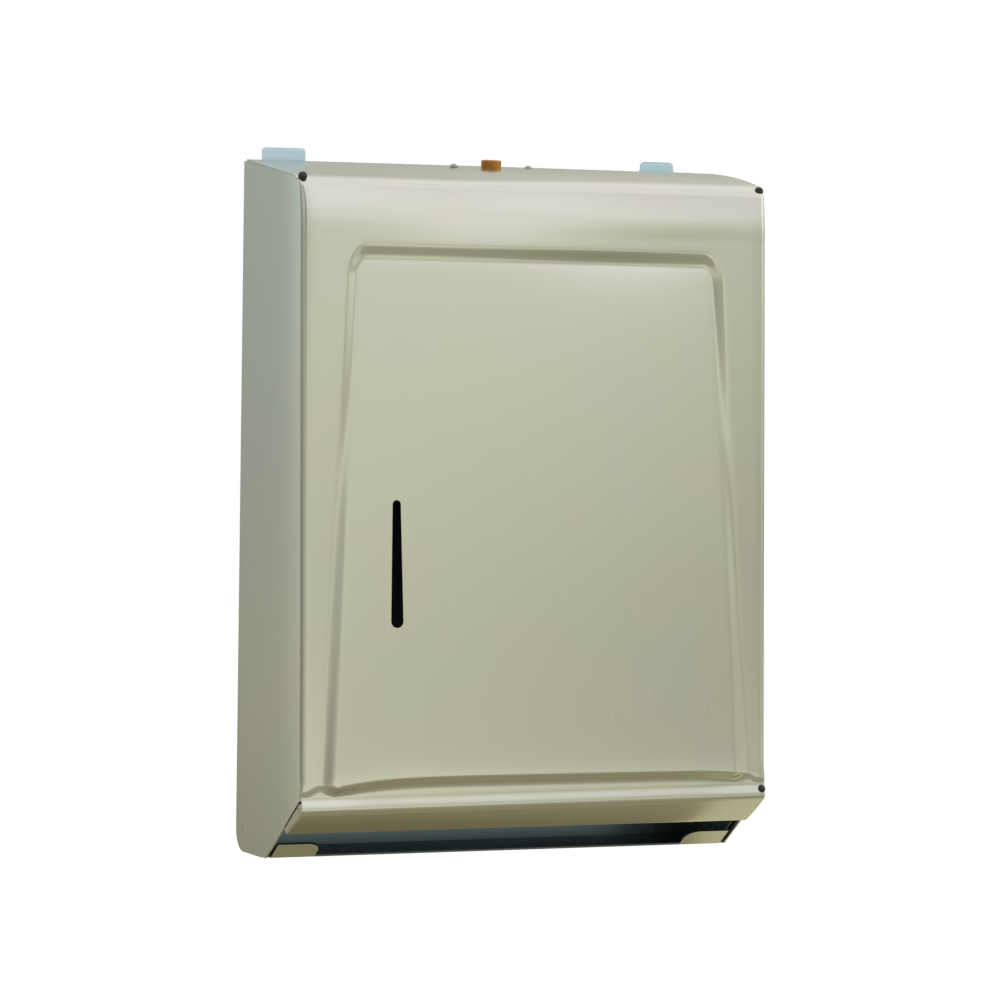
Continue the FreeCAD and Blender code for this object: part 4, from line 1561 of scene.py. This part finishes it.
        # The factors are halved here, so that none is over 1, and doubled below.
        shades = [ramp(tree, around, [((a + 180) / 360, (c / 2, c / 2, c / 2, 1))
                                      for a, c in tint])
                  for tint in (self.low_tint, self.high_tint)]
        upper = add_node(tree, "ShaderNodeMapRange", {"interpolation_type": "SMOOTHSTEP"},
                         {"Value": share, "From Min": self.height_of(self.tint_blend[0]),
                          "From Max": self.height_of(self.tint_blend[1])}).outputs["Result"]
        shade = add_node(tree, "ShaderNodeMix", {"data_type": "RGBA"},
                         {"Factor": upper, 6: shades[0], 7: shades[1]}).outputs[2]
        product = add_node(tree, "ShaderNodeVectorMath", {"operation": "MULTIPLY"},
                           {0: both, 1: shade}).outputs["Vector"]
        return add_node(tree, "ShaderNodeVectorMath", {"operation": "SCALE"},
                        {0: product, "Scale": 2.0}).outputs["Vector"]

    def floor_colour(self, tree: bpy.types.NodeTree,
                     place: bpy.types.NodeSocket) -> bpy.types.NodeSocket:
        """Builds the floor's colour, which lightens away from its darkest place: a painted
        reflection, with painted shade under the cabinet.

        Args:
            tree: The cloth's node tree.
            place: The object coordinates.

        Returns:
            The colour's socket.
        """
        x, y = self.floor_spot
        moved = add_node(tree, "ShaderNodeMapping", {"vector_type": "POINT"},
                         {"Vector": place, "Location": (-x, -y, 0), "Scale": (1, 1, 0)})
        away = add_node(tree, "ShaderNodeVectorMath", {"operation": "LENGTH"},
                        {0: moved.outputs["Vector"]}).outputs["Value"]
        share = add_node(tree, "ShaderNodeMapRange",
                         inputs={"Value": away, "From Min": 0.0,
                                 "From Max": self.floor_reach}).outputs["Result"]
        return ramp(tree, share, [(at, (*colour, 1)) for at, colour in self.floor_bands])

    def build(self) -> bpy.types.Object:
        """Stands the tent up, open at its top.

        Returns:
            The tent's mesh object.
        """
        height = self.rim - self.foot
        deselect()
        bpy.ops.mesh.primitive_cylinder_add(
            vertices=128, radius=self.radius * MM, depth=height * MM, end_fill_type="NGON",
            location=placed(0, 0, (self.rim + self.foot) / 2))
        tent = started("mirror_tent")
        tent.data.materials.append(glowing_material("tent_wall_painted_reflection", self.wall_colour))
        tent.data.materials.append(glowing_material("tent_floor_painted_reflection", self.floor_colour))
        with editing(tent) as mesh:
            choose(mesh, mesh.faces, lambda f: f.normal.z > 0.9)
            bpy.ops.mesh.delete(type="FACE")
            mesh = bmesh.from_edit_mesh(tent.data)
            for face in mesh.faces:
                face.material_index = int(face.normal.z < -0.9)
        only_mirrored(tent)
        return tent


@dataclass
class ReflectionCard:
    """A glowing card under the cabinet's right end: a painted reflection, the light patch that the
    lip mirrors.

    Attributes:
        middle: Where its middle lies, in millimetres.
        size: Its size, in millimetres.
        colour: Its colour, in linear light.
    """

    middle: tuple[float, float, float] = (270.0, 0.0, -90.0)
    size: tuple[float, float, float] = (200.0, 300.0, 2.0)
    colour: Colour = (0.60, 0.58, 0.38, 1.0)

    def build(self) -> bpy.types.Object:
        """Lays the card down.

        Returns:
            The card's mesh object.
        """
        deselect()
        bpy.ops.mesh.primitive_cube_add(size=1, location=placed(*self.middle),
                                        scale=[side * MM for side in self.size])
        card = started("painted_reflection_card")
        card.data.materials.append(glowing_material("card_painted_reflection", lambda tree, place: self.colour))
        only_mirrored(card)
        return card


@dataclass
class Studio:
    """Camera, floor, soft light and the tent that the metal mirrors.

    Angles are in degrees, and lengths in millimetres unless said.

    Attributes:
        yaw: How far the camera looks to the right of straight at the wall.
        pitch: How far it looks up, less than 0 downwards.
        roll: How far its right side is raised.
        focal_pixels: Its focal length, in pixels of the picture.
        frame_pixels: The picture's width, in pixels.
        sensor: The sensor's width.
        distance: How far the camera stands from what it aims at.
        aim: The point at which it is aimed.
        shift_right: How far the camera then moves to its right.
        shift_up: How far it moves upwards.
        floor_drop: Depth of the floor below the cabinet.
        floor_size: Width of the floor, in metres.
        floor_glow: Strength of the floor's glow where it is seen.
        room_light: Strength of the white room as a light.
        lamp_size: Width of the lamp, in metres.
        lamp_power: Its power, in watts.
        lamp_place: Where it hangs.
    """

    yaw: float = 22.858
    pitch: float = -2.093
    roll: float = 0.829
    focal_pixels: float = 4603.0
    frame_pixels: float = 1000.0
    sensor: float = 36.0
    distance: float = 2575.0
    aim: tuple[float, float, float] = (0.0, -50.0, 190.0)
    shift_right: float = -3.0
    shift_up: float = 7.246
    floor_drop: float = 1200.0
    floor_size: float = 60.0
    floor_glow: float = 0.5
    room_light: float = 0.62
    lamp_size: float = 2.6
    lamp_power: float = 34.0
    lamp_place: tuple[float, float, float] = (-900.0, -2300.0, 2300.0)

    def set_camera(self) -> None:
        """Puts the camera where the reference view was taken from."""
        yaw, pitch, roll = (math.radians(a) for a in (self.yaw, self.pitch, self.roll))
        ahead = Vector((math.sin(yaw) * math.cos(pitch), math.cos(yaw) * math.cos(pitch),
                        math.sin(pitch)))
        level = Vector((math.cos(yaw), -math.sin(yaw), 0))
        upright = level.cross(ahead)
        right = level * math.cos(roll) + upright * math.sin(roll)
        up = upright * math.cos(roll) - level * math.sin(roll)
        spot = (placed(*self.aim) - ahead * self.distance * MM
                + right * self.shift_right * MM + up * self.shift_up * MM)
        data = bpy.data.cameras.new("view_camera")
        data.sensor_width = self.sensor
        data.lens = self.focal_pixels / self.frame_pixels * self.sensor
        data.clip_end = 100
        camera = bpy.data.objects.new("view_camera", data)
        bpy.context.scene.collection.objects.link(camera)
        turn = Matrix((right, up, -ahead)).transposed()
        camera.matrix_world = Matrix.Translation(spot) @ turn.to_4x4()
        bpy.context.scene.camera = camera

    def seen_rays(self, tree: bpy.types.NodeTree) -> bpy.types.NodeSocket:
        """Tells the rays that show a surface, directly or in metal or glass, from the rest.

        Args:
            tree: The node tree that gets the nodes.

        Returns:
            The socket, 1 for such a ray and 0 for any other.
        """
        path = add_node(tree, "ShaderNodeLightPath")
        seen = add_node(tree, "ShaderNodeMath", {"operation": "ADD"},
                        {0: path.outputs["Is Camera Ray"], 1: path.outputs["Is Glossy Ray"]})
        through = add_node(tree, "ShaderNodeMath", {"operation": "ADD", "use_clamp": True},
                           {0: seen.outputs[0], 1: path.outputs["Is Transmission Ray"]})
        return through.outputs[0]

    def set_world(self) -> None:
        """Makes the surroundings white to look at and softer as a light."""
        world = bpy.data.worlds.new("white_room")
        bpy.context.scene.world = world
        world.use_nodes = True
        tree = world.node_tree
        strength = add_node(tree, "ShaderNodeMapRange",
                            inputs={"Value": self.seen_rays(tree), "To Min": self.room_light,
                                    "To Max": 1.0})
        shader = tree.nodes["Background"]
        shader.inputs["Color"].default_value = linear("#FFFFFF")
        tree.links.new(strength.outputs["Result"], shader.inputs["Strength"])

    def lay_floor(self) -> None:
        """Lays a pale floor well below the cabinet."""
        deselect()
        bpy.ops.mesh.primitive_plane_add(size=self.floor_size,
                                         location=placed(0, 0, -self.floor_drop))
        floor = started("studio_floor")
        made, tree, shader = new_material("pale_floor")
        shader.inputs["Base Color"].default_value = linear("#E6E6E4")
        shader.inputs["Roughness"].default_value = 0.9
        shader.inputs["Emission Color"].default_value = linear("#FFFFFF")
        glow = add_node(tree, "ShaderNodeMath", {"operation": "MULTIPLY"},
                        {0: self.seen_rays(tree), 1: self.floor_glow})
        tree.links.new(glow.outputs[0], shader.inputs["Emission Strength"])
        floor.data.materials.append(made)

    def hang_lamp(self) -> None:
        """Hangs one large soft lamp above and in front."""
        data = bpy.data.lights.new("key_lamp", "AREA")
        data.size = self.lamp_size
        data.energy = self.lamp_power
        lamp = bpy.data.objects.new("key_lamp", data)
        bpy.context.scene.collection.objects.link(lamp)
        lamp.location = placed(*self.lamp_place)
        aim = placed(*self.aim) - lamp.location
        lamp.rotation_euler = aim.to_track_quat("-Z", "Y").to_euler()
        lamp.visible_glossy = False

    def build(self) -> None:
        """Sets the whole studio up."""
        bpy.context.scene.view_settings.view_transform = "Standard"
        self.set_camera()
        self.set_world()
        self.lay_floor()
        self.hang_lamp()
        # The tent and the card glow only in the metal's reflections: painted reflections.
        MirrorTent().build()
        ReflectionCard().build()


@dataclass(frozen=True)
class Dressing:
    """A finish, and the nodes that keep their shape and wear it.

    Attributes:
        finish: The finish.
        nodes: The nodes' names.
    """

    finish: BrushedStainless | SmallMetal | MouldedPlastic
    nodes: tuple[str, ...]

    def build(self) -> None:
        """Puts the finish on the nodes."""
        material = self.finish.material()
        for name in self.nodes:
            node = frame["nodes"][name]
            if node.material_slots:
                for slot in node.material_slots:
                    slot.material = material
            else:
                node.data.materials.append(material)
            log.info("%s: %s", name, material.name)


@dataclass(frozen=True)
class TrayTabs:
    """The tray's two end tabs, which show beside the throat in a lit copy of the tray's metal,
    where the rest of the tray has painted shade.

    Attributes:
        finish: Their finish.
        inner_end: Distance of their inner ends from the middle, in millimetres.
        facing: The way they face, square to the sides' slanted edges.
        likeness: How well a face has to face that way, 1 being exactly.
    """

    finish: BrushedStainless
    inner_end: float = 110.0
    facing: tuple[float, float, float] = (0.0, -0.578, -0.816)
    likeness: float = 0.97

    def build(self) -> None:
        """Puts the finish on the tray's faces that make up the tabs."""
        tray = frame["nodes"]["towel_tray"]
        tray.data.materials.append(self.finish.material())
        for face in tray.data.polygons:
            turned = abs(face.normal.dot(Vector(self.facing))) > self.likeness
            if turned and abs(face.center.x) > self.inner_end * MM:
                face.material_index = len(tray.data.materials) - 1
        log.info("towel_tray tabs: %s", self.finish.name)


# Folded sheet, brushed down the front: a warm grey satin that mirrors softly.
COVER_SHEET = BrushedStainless("brushed_stainless_cover", "#D8D7CF", 0.18, 0.2, 0.45,
                               relief=0.0004)
# Painted shade for the openings where the cover's bends meet: dull and nearly black.
HOLE_SHADE = SmallMetal("painted_hole_shade", "#4A4A4C", 0.4, 0.6)
# Unfilled polypropylene: pale blue, milky and softly glossy.
CLIP_PLASTIC = MouldedPlastic("milky_blue_polypropylene", "#C6DCE2", 0.35, 0.6)
# The tray's sheet as bare stainless, its lit copy: brighter than the tray round it, which has
# painted shade.
LIT_TAB_SHEET = BrushedStainless("lit_stainless_tabs", "#D2D0C6", 0.2, 0.26, 0.3)

DRESSINGS = (
    # Mill sheet, dull, bluish and dark: painted shade for the inside of the case and its throat.
    Dressing(BrushedStainless("case_steel_painted_shade", "#6E7C86", 0.34, 0.46, 0.2,
                              streak_width=1.2, relief=0.006, metallic=0.75),
             ("back_plate", "right_towel_guide", "left_towel_guide")),
    # The same sheet in the same painted shade, a little brighter and glossier.
    Dressing(BrushedStainless("tray_steel_painted_shade", "#7F909E", 0.3, 0.4, 0.2,
                              streak_width=1.2, relief=0.006),
             ("towel_tray",)),
    TrayTabs(LIT_TAB_SHEET),
    # Bright zinc plate: cool, clean and fairly sharp.
    Dressing(SmallMetal("zinc_plated_steel", "#BFC0BC", 0.28, 0.42),
             ("lock_keeper", "lock_plate", "lock_washer", "lock_nut", "lock_cam", "cam_screw")),
    # Plain headed steel: grey and dull.
    Dressing(SmallMetal("rivet_steel", "#A6A89C", 0.45, 0.6),
             ("tray_rivets", "keeper_rivets", "clip_rivets", "left_lock_rivet",
              "right_lock_rivet")),
    # Turned steel: bright, with a warm tint painted in as the reflection of the cover round it.
    Dressing(SmallMetal("pin_steel_painted_reflection", "#D6D5CC", 0.22, 0.32),
             ("right_hinge_pin", "left_hinge_pin")),
    # Turned brass, handled: golden brown, with soft highlights.
    Dressing(SmallMetal("turned_brass", "#B8823E", 0.3, 0.45),
             ("lock_body", "lock_plug")),
    # Natural nylon: creamy white, waxy and a little milky.
    Dressing(MouldedPlastic("natural_nylon", "#E4E0D2", 0.45, 0.3),
             ("right_hinge_washer", "left_hinge_washer")),
)

CLIPS = (
    TopClip(Side.LEFT, (-129.8, -104.2), (-129.6, -104.5), 391.9, 1.5),
    TopClip(Side.RIGHT, (98.5, 125.0), (102.0, 121.5), 390.2, 1.6),
)


def main() -> None:
    """Builds the studio, the modelled pieces and the finishes, in that order."""
    logging.basicConfig(level=logging.INFO, format="%(message)s")
    Studio().build()
    cover = Cover()
    cover_metal = COVER_SHEET.material(cover.flat_map)
    finish_piece(cover.build(), cover_metal, Slot.COVER, "cover", "cover_shell")
    # The dark corner beads are painted shade.
    finish_piece(cover.corner_beads(), HOLE_SHADE.material(), Slot.COVER, "cover")
    clip_plastic = CLIP_PLASTIC.material()
    for clip in CLIPS:
        finish_piece(clip.build(), clip_plastic, Slot.CLIP, "case", clip.node)
    for dressing in DRESSINGS:
        dressing.build()


if __name__ == "__main__":
    main()
